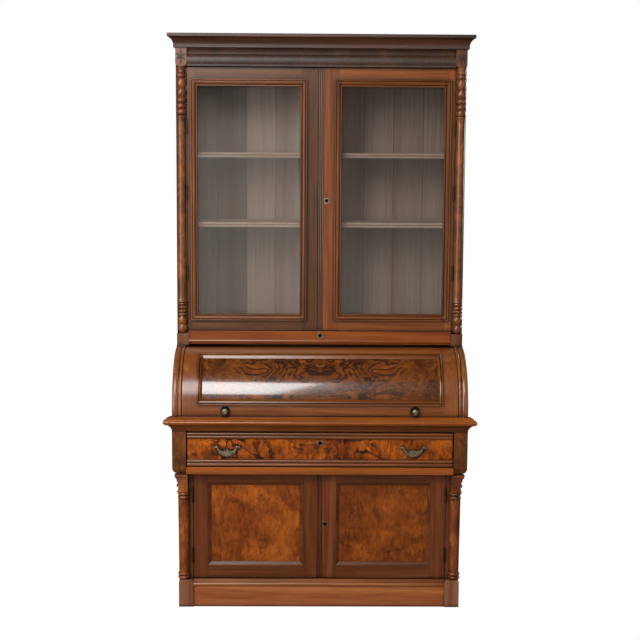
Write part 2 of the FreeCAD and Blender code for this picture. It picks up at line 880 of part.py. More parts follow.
ledge_spaces = [slide_space, groove_space]
for side in SIDES:
    ledge_spaces.append(box(f"ledge_return_{side}", span(side, half, ledge_half), (return_end, back),
                            (ledge_z, desk_z)))
keep(cut("ledge_run", ledge_shape, joined("ledge_space", ledge_spaces)), "ledge_ends")

# Writing slide: a board with a nosed lip, and tongues that run in the grooves of the ledge
board_edge = slide_edge - size.slide_side_gap
slide_low = ledge_z + size.slide_gap
slide_board = prism("slide_board", "YZ", -board_edge, board_edge, [
    (slide_back, slide_low),
    (slide_back, desk_z),
    *nosing(tip),
    (tip + size.nose_undercut, slide_low),
])
tongues = box("slide_tongues", (-board_edge - size.tongue_width, board_edge + size.tongue_width),
              (slide_back - size.tongue_length, slide_back), (tongue_z, tongue_z + size.tongue_height))
keep(joined("slide_whole", [slide_board, tongues]), "writing_slide")

# Desk sides: boards with a quarter-round front, a pivot bore, and a reeded bead round the edge
board_radius = size.roll_radius - size.bead_depth
bead_start = -angle_of_sine((size.axis_rise - size.bead_foot_gap) / size.roll_radius)
bead_split = desk_inner + size.inner_bead_width
side_beads = []
for side in SIDES:
    x_low, x_high = span(side, desk_inner, half)
    flank = prism(f"desk_flank_{side}", "YZ", x_low, x_high, [
        (back, desk_z),
        (back, roll_top),
        (axis_y, roll_top),
        (axis_y, axis_z + board_radius),
        (*polar(bead_start, board_radius), board_radius, "left"),
        (axis_y - cosine(bead_start) * board_radius, desk_z),
    ])
    bore_start = desk_inner if side == "right" else -desk_inner - size.pivot_length
    bore = cylinder(f"pivot_bore_{side}", size.pivot_radius + size.pin_clearance, size.pivot_length,
                    (bore_start, axis_y, axis_z), "x")
    keep(cut(f"desk_board_{side}", flank, bore), f"desk_side_{side}")
bead_side = bead_split + size.bead_quirk
outer_bead = half - bead_side
bead_shoulder = size.roll_radius - size.bead_depth / 2
right_bead = rolled("bead_right", [
    (desk_inner, board_radius),
    (half, board_radius),
    (half, bead_shoulder),
    (bead_side, bead_shoulder, outer_bead * 0.95, "left"),
    (bead_side, bead_shoulder - size.bead_quirk),
    (bead_split, bead_shoulder - size.bead_quirk),
    (bead_split, bead_shoulder),
    (desk_inner, bead_shoulder, size.inner_bead_width * 0.6, "left"),
], bead_start, Formula("90"))
keep(group("bead_pair", [right_bead, mirrored("bead_left", right_bead)]), "side_beads")

# Cylinder lid: curved stiles and rails round a burl panel, held in a moulding
lid_radius = size.roll_radius - size.lid_recess
lid_inside = lid_radius - size.lid_thickness
lid_half = desk_inner - size.lid_side_gap
lid_edge = lid_half - size.lid_stile_width
panel_half = lid_edge - size.lid_moulding_width
lid_foot = -angle_of_sine((size.axis_rise - size.lid_foot_gap) / lid_radius)
opening_low = size.lid_opening_low
opening_high = size.lid_opening_high
right_stile = rolled("lid_stile_right", rectangle((lid_edge, lid_half), (lid_inside, lid_radius)),
                     lid_foot, size.lid_top_angle)
keep(group("lid_stile_pair", [right_stile, mirrored("lid_stile_left", right_stile)]), "lid_stiles")
rail_section = rectangle((-lid_edge, lid_edge), (lid_inside, lid_radius))
keep(group("lid_rail_pair", [
    rolled("lid_low_rail", rail_section, lid_foot, opening_low),
    rolled("lid_high_rail", rail_section, opening_high, size.lid_top_angle),
]), "lid_rails")
panel_radius = lid_radius - size.lid_panel_sink
panel_inside = panel_radius - size.lid_panel_thickness
moulding_radius = lid_radius + size.lid_recess
panel_low = opening_low + size.lid_moulding_angle
panel_high = opening_high - size.lid_moulding_angle
keep(rolled("lid_burl", rectangle((-panel_half, panel_half), (panel_inside, panel_radius)),
            panel_low, panel_high), "lid_panel")
quirk_radius = moulding_radius - size.lid_moulding_quirk
moulding_profile = ((0.26, moulding_radius), (0.3, quirk_radius), (0.38, quirk_radius),
                    (0.42, moulding_radius - 1), (0.64, moulding_radius - 2), (1, panel_radius))
moulding_runs = []
for name, edge, field in (("right", lid_edge, panel_half), ("left", -lid_edge, -panel_half)):
    moulding_runs.append(rolled(f"lid_moulding_{name}", [
        (edge, panel_inside), (edge, moulding_radius),
        *((edge + (field - edge) * share, radius) for share, radius in moulding_profile),
        (field, panel_inside),
    ], opening_low, opening_high))
for name, edge, field in (("low", opening_low, panel_low), ("high", opening_high, panel_high)):
    moulding_runs.append(prism(f"lid_moulding_{name}", "YZ", -lid_edge, lid_edge, [
        polar(edge, panel_inside), polar(edge, moulding_radius),
        *(polar(edge + (field - edge) * share, radius) for share, radius in moulding_profile),
        polar(field, panel_inside),
    ]))
keep(joined("lid_moulding_frame", moulding_runs), "lid_moulding")

# Lid arms: flat iron quadrants under the lid, each with a pin in the desk side
arm_far = lid_half - size.arm_inset
arm_near = arm_far - size.arm_thickness
arm_low = size.arm_low_angle
arm_high = size.arm_high_angle
web_angle = size.arm_bar * 0.5
arms = []
for side in SIDES:
    x_low, x_high = span(side, arm_near, arm_far)
    rim = lid_inside - size.slide_gap
    window_near = size.arm_hub_radius * 3
    window_far = rim - size.arm_bar
    plate = prism(f"arm_plate_{side}", "YZ", x_low, x_high, [
        (axis_y, axis_z),
        polar(arm_low, rim),
        (*polar(arm_high, rim), rim, "right"),
    ], [
        polar(arm_low + web_angle * 2, window_near),
        polar(arm_low + web_angle, window_far),
        (*polar(arm_high - web_angle, window_far), window_far, "right"),
        polar(arm_high - web_angle * 2, window_near),
    ])
    hub = cylinder(f"arm_hub_{side}", size.arm_hub_radius, size.arm_thickness, (x_low, axis_y, axis_z), "x")
    pin_reach = desk_inner + size.pivot_length - arm_far - size.slide_gap
    pin_start = arm_far if side == "right" else -arm_far - pin_reach
    pin = cylinder(f"arm_pin_{side}", size.pivot_radius, pin_reach, (pin_start, axis_y, axis_z), "x")
    arms.append(joined(f"lid_arm_{side}", [plate, hub, pin]))
keep(group("lid_arm_pair", arms), "lid_arms")


# Lid knobs: brass knobs on dark round rosettes
def knob_outline(seat, radius, length):
    """Radius and distance of a turned knob from its seat outwards."""
    neck = radius * 0.45
    return [
        (zero, seat),
        (neck, seat),
        (neck, length - radius),
        (radius, length - radius * 0.6),
        (radius * 0.55, length, radius * 0.75, "left"),
        (zero, length),
    ]


knob_z = desk_z + size.knob_height
knob_y = axis_y - lid_radius
knob_x = lid_half - size.knob_inset
lid_knobs = []
rosettes = []
for side in SIDES:
    seat = (knob_x if side == "right" else -knob_x, knob_y, knob_z)
    rosettes.append(turned(f"lid_rosette_{side}", [
        (zero, zero),
        (size.rosette_radius, zero),
        (size.rosette_radius * 0.85, size.rosette_thickness),
        (zero, size.rosette_thickness),
    ], seat, tilt=90))
    lid_knobs.append(turned(f"lid_knob_{side}", knob_outline(size.rosette_thickness, size.knob_radius,
                                                             size.knob_length), seat, tilt=90))
keep(group("lid_knob_pair", lid_knobs), "lid_knobs")
keep(group("lid_rosette_pair", rosettes), "lid_rosettes")

# Pigeonhole nest behind the slide, with a letter drawer at each end
nest_front = slide_back + size.nest_gap
nest_back = nest_front + size.nest_depth
nest_high = ledge_z + size.nest_height
nest_half = slide_edge - size.nest_side_gap
wood = size.nest_board
nest_floor = desk_z
bay_edge = nest_half - size.letter_bay_width
nest_shelf = nest_floor + size.letter_drawer_height + size.letter_gap * 2
nest_inner = nest_half - wood
nest_depth = (nest_front, nest_back - wood)
nest_rise = (nest_floor, nest_high - wood)
nest_boards = [
    box("nest_floor", (-nest_half, nest_half), (nest_front, nest_back), (ledge_z, nest_floor)),
    box("nest_top", (-nest_half, nest_half), (nest_front, nest_back), (nest_high - wood, nest_high)),
    box("nest_back", (-nest_half, nest_half), (nest_back - wood, nest_back), nest_rise),
]
for side in SIDES:
    nest_boards.append(box(f"nest_end_{side}", span(side, nest_inner, nest_half), nest_depth, nest_rise))
    nest_boards.append(box(f"nest_wall_{side}", span(side, bay_edge, bay_edge + wood), nest_depth, nest_rise))
    nest_boards.append(box(f"nest_shelf_{side}", span(side, bay_edge + wood, nest_inner), nest_depth,
                           (nest_shelf, nest_shelf + wood)))
for number in (-1, 0, 1):
    middle = bay_edge / 2 * number
    nest_boards.append(box(f"nest_divider_{number + 1}", (middle - wood / 2, middle + wood / 2), nest_depth,
                           nest_rise))
keep(group("nest_boards", nest_boards), "pigeonhole_nest")
gap = size.letter_gap
wall = size.letter_wall
for side in SIDES:
    near = bay_edge + wood + gap
    far = nest_inner - gap
    low = nest_floor + size.slide_gap
    high = nest_shelf - gap
    rear = nest_back - wood - gap
    lining = (low, high - wall)
    middle = (near + far) / 2 if side == "right" else -(near + far) / 2
    middle_z = (low + high) / 2
    letter_boards = [
        box(f"letter_face_{side}", span(side, near, far), (nest_front, nest_front + wood), (low, high)),
        box(f"letter_near_{side}", span(side, near, near + wall), (nest_front + wood, rear), lining),
        box(f"letter_far_{side}", span(side, far - wall, far), (nest_front + wood, rear), lining),
        box(f"letter_rear_{side}", span(side, near + wall, far - wall), (rear - wall, rear), lining),
        box(f"letter_floor_{side}", span(side, near + wall, far - wall), (nest_front + wood, rear - wall),
            (low, low + wall)),
        turned(f"letter_knob_{side}", knob_outline(zero, size.letter_knob_radius, size.letter_knob_length),
               (middle, nest_front, middle_z), tilt=90),
    ]
    keep(group(f"letter_box_{side}", letter_boards), f"letter_drawer_{side}")

# Header rail above the lid, with a bead along its foot
header_face = book_front + size.header_setback
bead_low = header_z + size.header_bead_rise
keep(prism("header_rail", "YZ", -foot_block_edge, foot_block_edge, [
    (book_face, header_z),
    (book_face, door_z),
    (header_face, door_z),
    (header_face, bead_low + size.header_bead),
    (header_face, bead_low, size.header_bead * 0.6, "left"),
    (header_face, header_z),
]), "lid_header")

# Sides of the bookcase with their front stiles, floor, top and back boards
for side in SIDES:
    stile = box(f"book_stile_{side}", span(side, book_stile_edge, half), (book_face, book_inner),
                (roll_top, cornice_z))
    board = box(f"book_board_{side}", span(side, book_side_inner, half), (book_inner, back), (roll_top, cornice_z))
    keep(group(f"book_flank_{side}", [stile, board]), f"bookcase_side_{side}")
book_floor = door_z - size.door_foot_gap
book_floor_board = prism("book_floor_board", "XY", book_floor - size.book_floor_thickness, book_floor, [
    (-book_stile_edge, book_face),
    (book_stile_edge, book_face),
    (book_stile_edge, book_inner),
    (book_side_inner, book_inner),
    (book_side_inner, back_face),
    (-book_side_inner, back_face),
    (-book_side_inner, book_inner),
    (-book_stile_edge, book_inner),
])
book_top_board = box("book_top_board", (-half, half), (book_front, back),
                     (cornice_z, cornice_z + size.book_top_thickness))
keep(group("book_board_set", [book_floor_board, book_top_board]), "bookcase_boards")
pitch = book_side_inner * 2 / BACK_BOARDS
back_boards = []
for number in range(BACK_BOARDS):
    start = pitch * number - book_side_inner
    end = start + pitch
    chamfer = size.back_board_chamfer
    back_boards.append(prism(f"back_board_{number}", "XY", roll_top, cornice_z, [
        (start, back),
        (start, back_face + chamfer),
        (start + chamfer, back_face),
        (end - chamfer, back_face),
        (end, back_face + chamfer),
        (end, back),
    ]))
keep(group("back_board_set", back_boards), "bookcase_back_boards")

# Shelves on cleats, in the bookcase and the cupboard
shelf_half = book_side_inner - size.shelf_end_gap
shelf_front = book_front + size.shelf_setback
cleats = []
shelves = []
for name, rise in (("low", size.low_shelf_rise), ("high", size.high_shelf_rise)):
    shelf_low = door_z + rise - size.shelf_thickness
    shelf_high = door_z + rise
    shelf_middle = (shelf_low + shelf_high) / 2
    edge_round = size.shelf_thickness * 0.3
    quirk = shelf_front + size.shelf_bead
    shelves.append(prism(f"book_shelf_{name}", "YZ", -shelf_half, shelf_half, [
        (back_face, shelf_low),
        (back_face, shelf_high),
        (quirk, shelf_high),
        (quirk, shelf_middle, edge_round, "left"),
        (quirk, shelf_low, edge_round, "left"),
    ]))
    for side in SIDES:
        cleats.append(box(f"book_cleat_{name}_{side}", span(side, book_side_inner - size.cleat_size,
                                                            book_side_inner),
                          (shelf_front + size.cleat_size, back_face), (shelf_low - size.cleat_size, shelf_low)))
for side in SIDES:
    cleats.append(box(f"cupboard_cleat_{side}", span(side, base_side_inner - size.cleat_size, base_side_inner),
                      (cupboard_shelf_front, back_face), (cupboard_shelf_z - size.cleat_size, cupboard_shelf_z)))
keep(group("book_shelf_pair", shelves), "bookcase_shelves")
keep(group("cleat_set", cleats), "shelf_cleats")

# Columns of the bookcase, and the square blocks at their feet and heads
book_axis_x = half - size.column_projection
foot_top = roll_top + size.foot_block_height
foot_rings = [getattr(size, f"foot_ring_{number}") for number in range(1, BOOK_RINGS + 1)]
head_rings = [getattr(size, f"head_ring_{number}") for number in range(1, BOOK_RINGS + 1)]
head_low = frieze_z - size.head_neck - sum(head_rings, zero)
ring = size.book_ring_radius
slim = size.book_shaft_radius
column_blocks = []
book_columns = []
for side in SIDES:
    axis_x = book_axis_x if side == "right" else -book_axis_x
    low_rings, bell_low = ring_stack(foot_top, foot_rings, ring, size.book_ring_groove)
    high_rings, neck_low = ring_stack(head_low, head_rings, ring, size.book_ring_groove)
    book_columns.append(turned(f"book_column_{side}", [
        (zero, foot_top),
        *low_rings,
        (ring, bell_low),
        (slim, bell_low + size.ring_bell),
        (slim, head_low - size.ring_bell),
        (ring, head_low),
        *high_rings,
        (slim, neck_low),
        (slim, neck_low + size.head_neck / 3),
        (ring, frieze_z),
        (zero, frieze_z),
    ], (axis_x, book_face, zero), sweep=180))
    column_blocks.append(box(f"foot_block_{side}", span(side, foot_block_edge, half), (book_front, book_face),
                             (roll_top, foot_top)))
    x_low, x_high = span(side, capital_edge, half)
    corner = size.capital_block_round
    column_blocks.append(prism(f"capital_block_{side}", "XZ", book_front, book_face, [
        (x_low + corner, frieze_z, corner, "left"),
        (x_high - corner, frieze_z),
        (x_high, frieze_z + corner, corner, "left"),
        (x_high, cornice_z),
        (x_low, cornice_z),
        (x_low, frieze_z + corner),
    ]))
keep(group("book_column_pair", book_columns), "bookcase_columns")
keep(group("column_block_set", column_blocks), "column_blocks")

# Frieze: a cushion moulding between the capital blocks, with the head rail behind it
frieze_front = book_face - size.frieze_proud
frieze_third = size.frieze_height / 3
frieze_cushion = prism("frieze_cushion", "YZ", -capital_edge, capital_edge, [
    (book_face, frieze_z),
    (book_face, cornice_z),
    (frieze_front, cornice_z),
    (frieze_front + size.frieze_proud / 2, cornice_z - frieze_third, size.frieze_height * 0.5, "right"),
    (frieze_front, frieze_z + frieze_third / 3, size.frieze_height * 0.5, "left"),
    (frieze_front, frieze_z),
])
head_rail = box("head_rail", (-book_stile_edge, book_stile_edge), (book_face, book_inner), (frieze_z, cornice_z))
keep(group("frieze_set", [frieze_cushion, head_rail]), "frieze")

# Cornice: a cove between two fillets, returned along the sides and open behind
cornice_half = half + size.cornice_overhang
cornice_front = book_front - size.cornice_overhang
fillet_low = cornice_z + size.cornice_fillet
fillet_high = top_z - size.cornice_fillet
cornice_curve = size.cornice_overhang * 1.3
ledge = size.cornice_overhang / 4
cornice_shape = crossed("cornice_shape", [
    (-half - ledge, cornice_z),
    (half + ledge, cornice_z),
    (half + ledge, fillet_low),
    (cornice_half, fillet_high, cornice_curve, "right"),
    (cornice_half, top_z),
    (-cornice_half, top_z),
    (-cornice_half, fillet_high),
    (-half - ledge, fillet_low, cornice_curve, "right"),
], [
    (back, cornice_z),
    (back, top_z),
    (cornice_front, top_z),
    (cornice_front, fillet_high),
    (book_front - ledge, fillet_low, cornice_curve, "right"),
    (book_front - ledge, cornice_z),
], cornice_half, (cornice_front, back))
keep(cut("cornice_run", cornice_shape, box("cornice_core", (-half, half), (book_front, back), (cornice_z, top_z))),
     "cornice")


# Butt hinges: a pinned knuckle and leaf on the case, and a bored knuckle and leaf on the door
def hinge(name, side, edge, face, low):
    """The case half and the door half of one hinge on the outer edge of a door."""
    axis_x = edge + size.door_gap / 2
    third = size.hinge_height / 3
    leaf_start = face - size.hinge_offset + size.leaf_relief
    centre_x = axis_x if side == "right" else -axis_x
    centre_y = face - size.hinge_offset
    case_leaf = span(side, edge + size.door_gap - size.leaf_thickness, edge + size.door_gap)
    door_leaf = span(side, edge, edge + size.leaf_thickness)
    high = low + size.hinge_height
    middle = (low + third + size.knuckle_gap, low + third * 2 - size.knuckle_gap)
    fixed = [
        cylinder(f"{name}_pin", size.hinge_pin_radius, size.hinge_height, (centre_x, centre_y, low), "z"),
        box(f"{name}_case_leaf", case_leaf, (leaf_start, leaf_start + size.leaf_width), (low, high)),
    ]
    for end, start in (("foot", low), ("head", low + third * 2)):
        fixed.append(cylinder(f"{name}_{end}", size.knuckle_radius, third, (centre_x, centre_y, start), "z"))
        fixed.append(box(f"{name}_{end}_tab", case_leaf, (centre_y, leaf_start), (start, start + third)))
    knuckle = cylinder(f"{name}_knuckle", size.knuckle_radius, middle[1] - middle[0],
                       (centre_x, centre_y, middle[0]), "z")
    tab = box(f"{name}_door_tab", door_leaf, (centre_y, leaf_start), middle)
    leaf = box(f"{name}_door_leaf", door_leaf, (leaf_start, leaf_start + size.leaf_width), (low, high))
    bore = cylinder(f"{name}_bore", size.hinge_pin_radius + size.pin_clearance, size.hinge_height,
                    (centre_x, centre_y, low), "z")
    door_half = cut(f"{name}_door_half", joined(f"{name}_door_parts", [knuckle, tab, leaf]), bore)
    return joined(f"{name}_case_half", fixed), door_half


case_hardware = [
    escutcheon("header_escutcheon", zero, header_face, door_z - size.header_bead),
    lock_case("header_lock_case", zero, book_face, (header_z, book_floor - size.book_floor_thickness)),
]


def centre_strip(name, edge, face, low, high):
    """The beaded strip that closes the gap between two doors; it belongs to the left one."""
    far = edge - size.strip_gap
    groove = face + size.strip_recess
    third = (edge + far) / 3
    return prism(name, "XY", low, high, [
        (-edge, groove + size.door_thickness - size.strip_recess * 2),
        (-edge, groove),
        (-edge + third, groove, third * 0.6, "right"),
        (-edge + third * 2, groove, third * 0.6, "right"),
        (far, groove, third * 0.6, "right"),
        (far, groove + size.door_thickness - size.strip_recess * 2),
    ])


def door_frame(name, side, edges, face, heights, stiles, rails):
    """Two stiles and the rails between them."""
    depth = (face, face + size.door_thickness)
    opening = (edges[0] + stiles[0], edges[1] - stiles[1])
    rise = (heights[0] + rails[0], heights[1] - rails[1])
    boards = [
        box(f"{name}_meeting_stile", span(side, edges[0], opening[0]), depth, heights),
        box(f"{name}_hinge_stile", span(side, opening[1], edges[1]), depth, heights),
        box(f"{name}_low_rail", span(side, *opening), depth, (heights[0], rise[0])),
        box(f"{name}_high_rail", span(side, *opening), depth, (rise[1], heights[1])),
    ]
    return boards, opening, rise


# Glazed doors: frame, glass moulding between two quirks, pane and hinges; the right door has the lock
def around(side, across, rise, margin):
    """The stretches across and up of an opening enlarged all round by a margin."""
    return span(side, across[0] - margin, across[1] + margin), (rise[0] - margin, rise[1] + margin)


def quirk(name, side, across, rise, margin, depths):
    """A narrow groove round an opening, at a margin from it."""
    x, z = around(side, across, rise, margin + size.quirk_width)
    outside = box(f"{name}_outside", x, depths, z)
    x, z = around(side, across, rise, margin)
    return cut(name, outside, box(f"{name}_inside", x, depths, z))


door_edge = book_stile_edge - size.door_gap
door_heights = (door_z + size.door_foot_gap, frieze_z - size.door_head_gap)
hinge_levels = (door_heights[0] + size.hinge_inset, (door_heights[0] + door_heights[1]) / 2,
                door_heights[1] - size.hinge_inset - size.hinge_height)
for side in SIDES:
    name = f"glass_door_{side}"
    boards, opening, rise = door_frame(name, side, (size.centre_gap, door_edge), book_face, door_heights,
                                       (size.meeting_stile_width, size.hinge_stile_width),
                                       (size.door_low_rail, size.door_high_rail))
    if side == "left":
        boards.append(centre_strip(f"{name}_strip", size.centre_gap, book_face, *door_heights))
    keep(group(f"{name}_boards", boards), f"{name}_frame")
    lip = size.glass_moulding_lip
    reach = size.glass_moulding_width - lip
    sight = (opening[0] + lip, opening[1] - lip)
    sight_rise = (rise[0] + lip, rise[1] - lip)
    outer = span(side, opening[0] - reach, opening[1] + reach)
    moulding_front = book_face - size.glass_moulding_proud
    bead_front = moulding_front + size.glass_moulding_set
    lip_back = book_face + size.glass_moulding_depth
    plate = box(f"{name}_moulding_face", outer, (moulding_front, book_face), (rise[0] - reach, rise[1] + reach))
    collar = box(f"{name}_moulding_lip", span(side, *opening), (book_face, lip_back), rise)
    light = box(f"{name}_moulding_light", span(side, *sight), (moulding_front, lip_back), sight_rise)
    slope = frustum(f"{name}_moulding_slope", *around(side, sight, sight_rise, size.glass_moulding_bead),
                    moulding_front, bead_front, size.glass_moulding_slope)
    outer_quirk = quirk(f"{name}_outer_quirk", side, sight, sight_rise,
                        size.glass_moulding_width - size.glass_moulding_fillet - size.quirk_width,
                        (moulding_front, moulding_front + size.quirk_depth))
    inner_quirk = quirk(f"{name}_inner_quirk", side, sight, sight_rise, size.glass_moulding_bead,
                        (moulding_front, bead_front + size.quirk_depth / 2))
    spaces = joined(f"{name}_moulding_spaces", [light, slope, outer_quirk, inner_quirk])
    blank = joined(f"{name}_moulding_blank", [plate, collar])
    keep(cut(f"{name}_moulding_run", blank, spaces), f"{name}_moulding")
    pane_gap = size.glass_edge_gap
    keep(box(f"{name}_glass", span(side, opening[0] + pane_gap, opening[1] - pane_gap),
             (lip_back, lip_back + size.glass_thickness), (rise[0] + pane_gap, rise[1] - pane_gap)),
         f"{name}_pane")
    hardware = []
    for number, level in enumerate(hinge_levels):
        fixed, moving = hinge(f"{name}_hinge_{number}", side, door_edge, book_face, level)
        case_hardware.append(fixed)
        hardware.append(moving)
    if side == "right":
        lock_x = size.centre_gap + size.lock_width / 2
        lock_z = (door_heights[0] + door_heights[1]) / 2
        hardware.append(escutcheon(f"{name}_escutcheon", size.centre_gap * 2, book_face, lock_z))
        hardware.append(lock_case(f"{name}_lock_case", lock_x, book_face + size.door_thickness,
                                  (lock_z - size.lock_height / 2, lock_z + size.lock_height / 2)))
    keep(group(f"{name}_metal", hardware), f"{name}_hardware")

# Cupboard doors: frame, fielded burl panel and hinges; the right door has the lock
cupboard_edge = base_stile_edge - size.door_gap
cupboard_heights = (plinth_top + size.cupboard_foot_gap, rail_z - size.cupboard_head_gap)
cupboard_levels = (cupboard_heights[0] + size.hinge_height, cupboard_heights[1] - size.hinge_height * 2)
for side in SIDES:
    name = f"cupboard_door_{side}"
    boards, opening, rise = door_frame(name, side, (size.cupboard_centre_gap, cupboard_edge), base_face,
                                       cupboard_heights,
                                       (size.cupboard_meeting_stile, size.cupboard_hinge_stile),
                                       (size.cupboard_low_rail, size.cupboard_high_rail))
    if side == "left":
        boards.append(centre_strip(f"{name}_strip", size.cupboard_centre_gap, base_face, *cupboard_heights))
    panel_face = base_face + size.panel_sink
    edge_face = base_face + size.panel_moulding_set
    width = size.panel_moulding_width
    sight = (opening[0] + width, opening[1] - width)
    sight_rise = (rise[0] + width, rise[1] - width)
    blank = box(f"{name}_moulding_blank", span(side, *opening), (edge_face, panel_face), rise)
    slope = frustum(f"{name}_moulding_slope", span(side, *sight), sight_rise, edge_face, panel_face,
                    width - size.panel_moulding_flat)
    boards.append(cut(f"{name}_moulding", blank, slope))
    keep(group(f"{name}_boards", boards), f"{name}_frame")
    keep(box(f"{name}_board", span(side, *opening), (panel_face, panel_face + size.panel_thickness), rise),
         f"{name}_panel")
    hardware = []
    for number, level in enumerate(cupboard_levels):
        fixed, moving = hinge(f"{name}_hinge_{number}", side, cupboard_edge, base_face, level)
        case_hardware.append(fixed)
        hardware.append(moving)
    if side == "right":
        lock_x = size.cupboard_centre_gap + size.lock_width / 2
        lock_z = (rise[0] + rise[1]) / 2
        hardware.append(escutcheon(f"{name}_escutcheon", size.cupboard_centre_gap * 2.2, base_face, lock_z))
        hardware.append(lock_case(f"{name}_lock_case", lock_x, base_face + size.door_thickness,
                                  (lock_z - size.lock_height / 2, lock_z + size.lock_height / 2)))
    keep(group(f"{name}_metal", hardware), f"{name}_hardware")
keep(group("case_metal", case_hardware), "case_hardware")

# Build, check and write every sub-part
doc.recompute()
faults = [f"{piece.Label}: {piece.State}" for piece in doc.Objects
          if "Invalid" in piece.State or "Error" in piece.State]
for piece in nodes:
    if piece.Shape.isNull() or not piece.Shape.isValid() or not piece.Shape.Solids:
        faults.append(f"{piece.Label}: no valid shape")
if faults:
    raise RuntimeError("; ".join(faults))
os.makedirs("parts", exist_ok=True)
for piece in nodes:
    piece.Shape.exportStep(f"parts/{piece.Label}.step")
print(len(nodes), "sub-parts written")
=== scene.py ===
import math

import bpy
from mathutils import Matrix


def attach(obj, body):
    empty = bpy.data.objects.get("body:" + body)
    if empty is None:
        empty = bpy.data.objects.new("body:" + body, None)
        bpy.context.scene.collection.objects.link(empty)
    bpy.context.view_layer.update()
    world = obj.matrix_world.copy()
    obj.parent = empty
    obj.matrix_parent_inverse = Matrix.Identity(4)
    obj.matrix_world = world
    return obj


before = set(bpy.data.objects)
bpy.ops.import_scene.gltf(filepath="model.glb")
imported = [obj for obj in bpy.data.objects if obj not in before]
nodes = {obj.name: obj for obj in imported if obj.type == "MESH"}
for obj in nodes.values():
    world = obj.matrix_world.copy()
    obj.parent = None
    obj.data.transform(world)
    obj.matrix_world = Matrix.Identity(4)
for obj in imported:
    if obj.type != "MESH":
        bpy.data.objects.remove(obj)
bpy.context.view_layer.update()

# Plinth: a solid walnut board between two corner blocks, glued and blocked from behind, with a
# beaded moulding planted along its top edge. The board is 81 mm high and the moulding 27 mm.
# It is French polished like the rest of the case, but redder and more faded.


def colour(code):
    """Linear colour of an sRGB hex code."""
    channels = [int(code[i:i + 2], 16) / 255 for i in (0, 2, 4)]
    linear = [c / 12.92 if c <= 0.04045 else ((c + 0.055) / 1.055) ** 2.4 for c in channels]
    return (*linear, 1.0)


def add(tree, kind, sockets, out=0, stops=(), **settings):
    """Add a shader node with its settings, feed its sockets with values or links, give its output."""
    node = tree.nodes.new("ShaderNode" + kind)
    for field, setting in settings.items():
        setattr(node, field, setting)
    band = node.color_ramp.elements if stops else ()
    while len(band) < len(stops):
        band.new(0.5)
    for element, (place, code) in zip(band, stops):
        element.position = place
        element.color = colour(code)
    for socket, source in sockets.items():
        if isinstance(source, bpy.types.NodeSocket):
            tree.links.new(source, node.inputs[socket])
        else:
            node.inputs[socket].default_value = source
    return node.outputs[out] if node.outputs else node


def blank(name):
    """A new material with an empty node tree."""
    material = bpy.data.materials.new(name)
    material.use_nodes = True
    material.node_tree.nodes.clear()
    return material, material.node_tree


def painted_corner_shade(tree, tint):
    """Painted shade, which darkens the wood within about 16 mm of a corner or quirk."""
    openness = add(tree, "AmbientOcclusion", {"Distance": 0.016}, "AO", samples=6)
    shade_ramp = add(tree, "ValToRGB", {"Fac": openness}, stops=((0.42, "2a1c14"), (0.92, "ffffff")))
    return add(tree, "Mix", {0: 1.0, 6: tint, 7: shade_ramp}, 2, data_type="RGBA", blend_type="MULTIPLY")


def walnut(name, grain, dark, middle, light, roughness=0.28, coat=0.1, ease=1.5, rails=None):
    """French-polished walnut: dark streaks along the grain over slow bands, under thin shellac.

    Edges are eased by a few mm and catch the light. In a door frame the grain lies across between the
    rails' two distances from the middle, in mm, the rails are painted a little paler as a painted sheen,
    and the joints show as thin dark lines."""
    material, tree = blank(name)
    place = add(tree, "TexCoord", {}, "Object")
    long, wide = 1000 / 200, 1000 / 7.5    # a streak is about 200 mm long and 7.5 mm wide
    along = {"X": (long, wide, wide), "Z": (wide, wide, long)}
    laid = add(tree, "Mapping", {"Vector": place, "Scale": along[grain]})
    if rails:
        near, far = rails[0] / 1000, rails[1] / 1000
        joint_width, painted_rail_sheen = 0.0014, 0.1
        across = add(tree, "Mapping", {"Vector": place, "Scale": along["X"]})
        x = add(tree, "SeparateXYZ", {"Vector": place}, "X")
        away = add(tree, "Math", {0: x}, operation="ABSOLUTE")
        offset = add(tree, "Math", {0: away, 1: (near + far) / 2}, operation="SUBTRACT")
        reach = add(tree, "Math", {0: offset}, operation="ABSOLUTE")
        past = add(tree, "Math", {0: reach, 1: (far - near) / 2}, operation="SUBTRACT")
        inside = add(tree, "Math", {0: past, 1: 0.0}, operation="LESS_THAN")
        laid = add(tree, "Mix", {0: inside, 4: laid, 5: across}, 1, data_type="VECTOR")
    streaks = add(tree, "TexNoise", {"Vector": laid, "Scale": 1.0, "Detail": 6.0, "Roughness": 0.62,
                                     "Distortion": 0.5})
    bands = add(tree, "TexNoise", {"Vector": laid, "Scale": 0.1, "Detail": 3.0, "Distortion": 1.2})
    figure = add(tree, "Mix", {0: 0.55, 2: streaks, 3: bands})
    tint = add(tree, "ValToRGB", {"Fac": figure}, stops=((0.36, dark), (0.5, middle), (0.64, light)))
    # Corners and quirks are darkened with painted shade.
    tint = painted_corner_shade(tree, tint)
    if rails:
        # The rails are painted a little paler: a painted sheen.
        rail_sheen_share = add(tree, "Math", {0: inside, 1: painted_rail_sheen}, operation="MULTIPLY")
        tint = add(tree, "Mix", {0: rail_sheen_share, 6: tint, 7: colour(light)}, 2, data_type="RGBA")
        joint = add(tree, "Math", {0: past, 1: 0.0, 2: joint_width / 2}, operation="COMPARE")
        darker = add(tree, "Math", {0: joint, 1: 0.7}, operation="MULTIPLY")
        tint = add(tree, "Mix", {0: darker, 6: tint, 7: colour(dark)}, 2, data_type="RGBA")
    edge = add(tree, "Bevel", {"Radius": ease / 1000}, samples=4)
    relief = add(tree, "Bump", {"Height": streaks, "Normal": edge, "Strength": 0.05, "Distance": 0.001})
    shader = add(tree, "BsdfPrincipled", {"Base Color": tint, "Normal": relief, "Roughness": roughness,
                                          "Coat Weight": coat, "Coat Roughness": 0.15})
    add(tree, "OutputMaterial", {"Surface": shader})
    return material


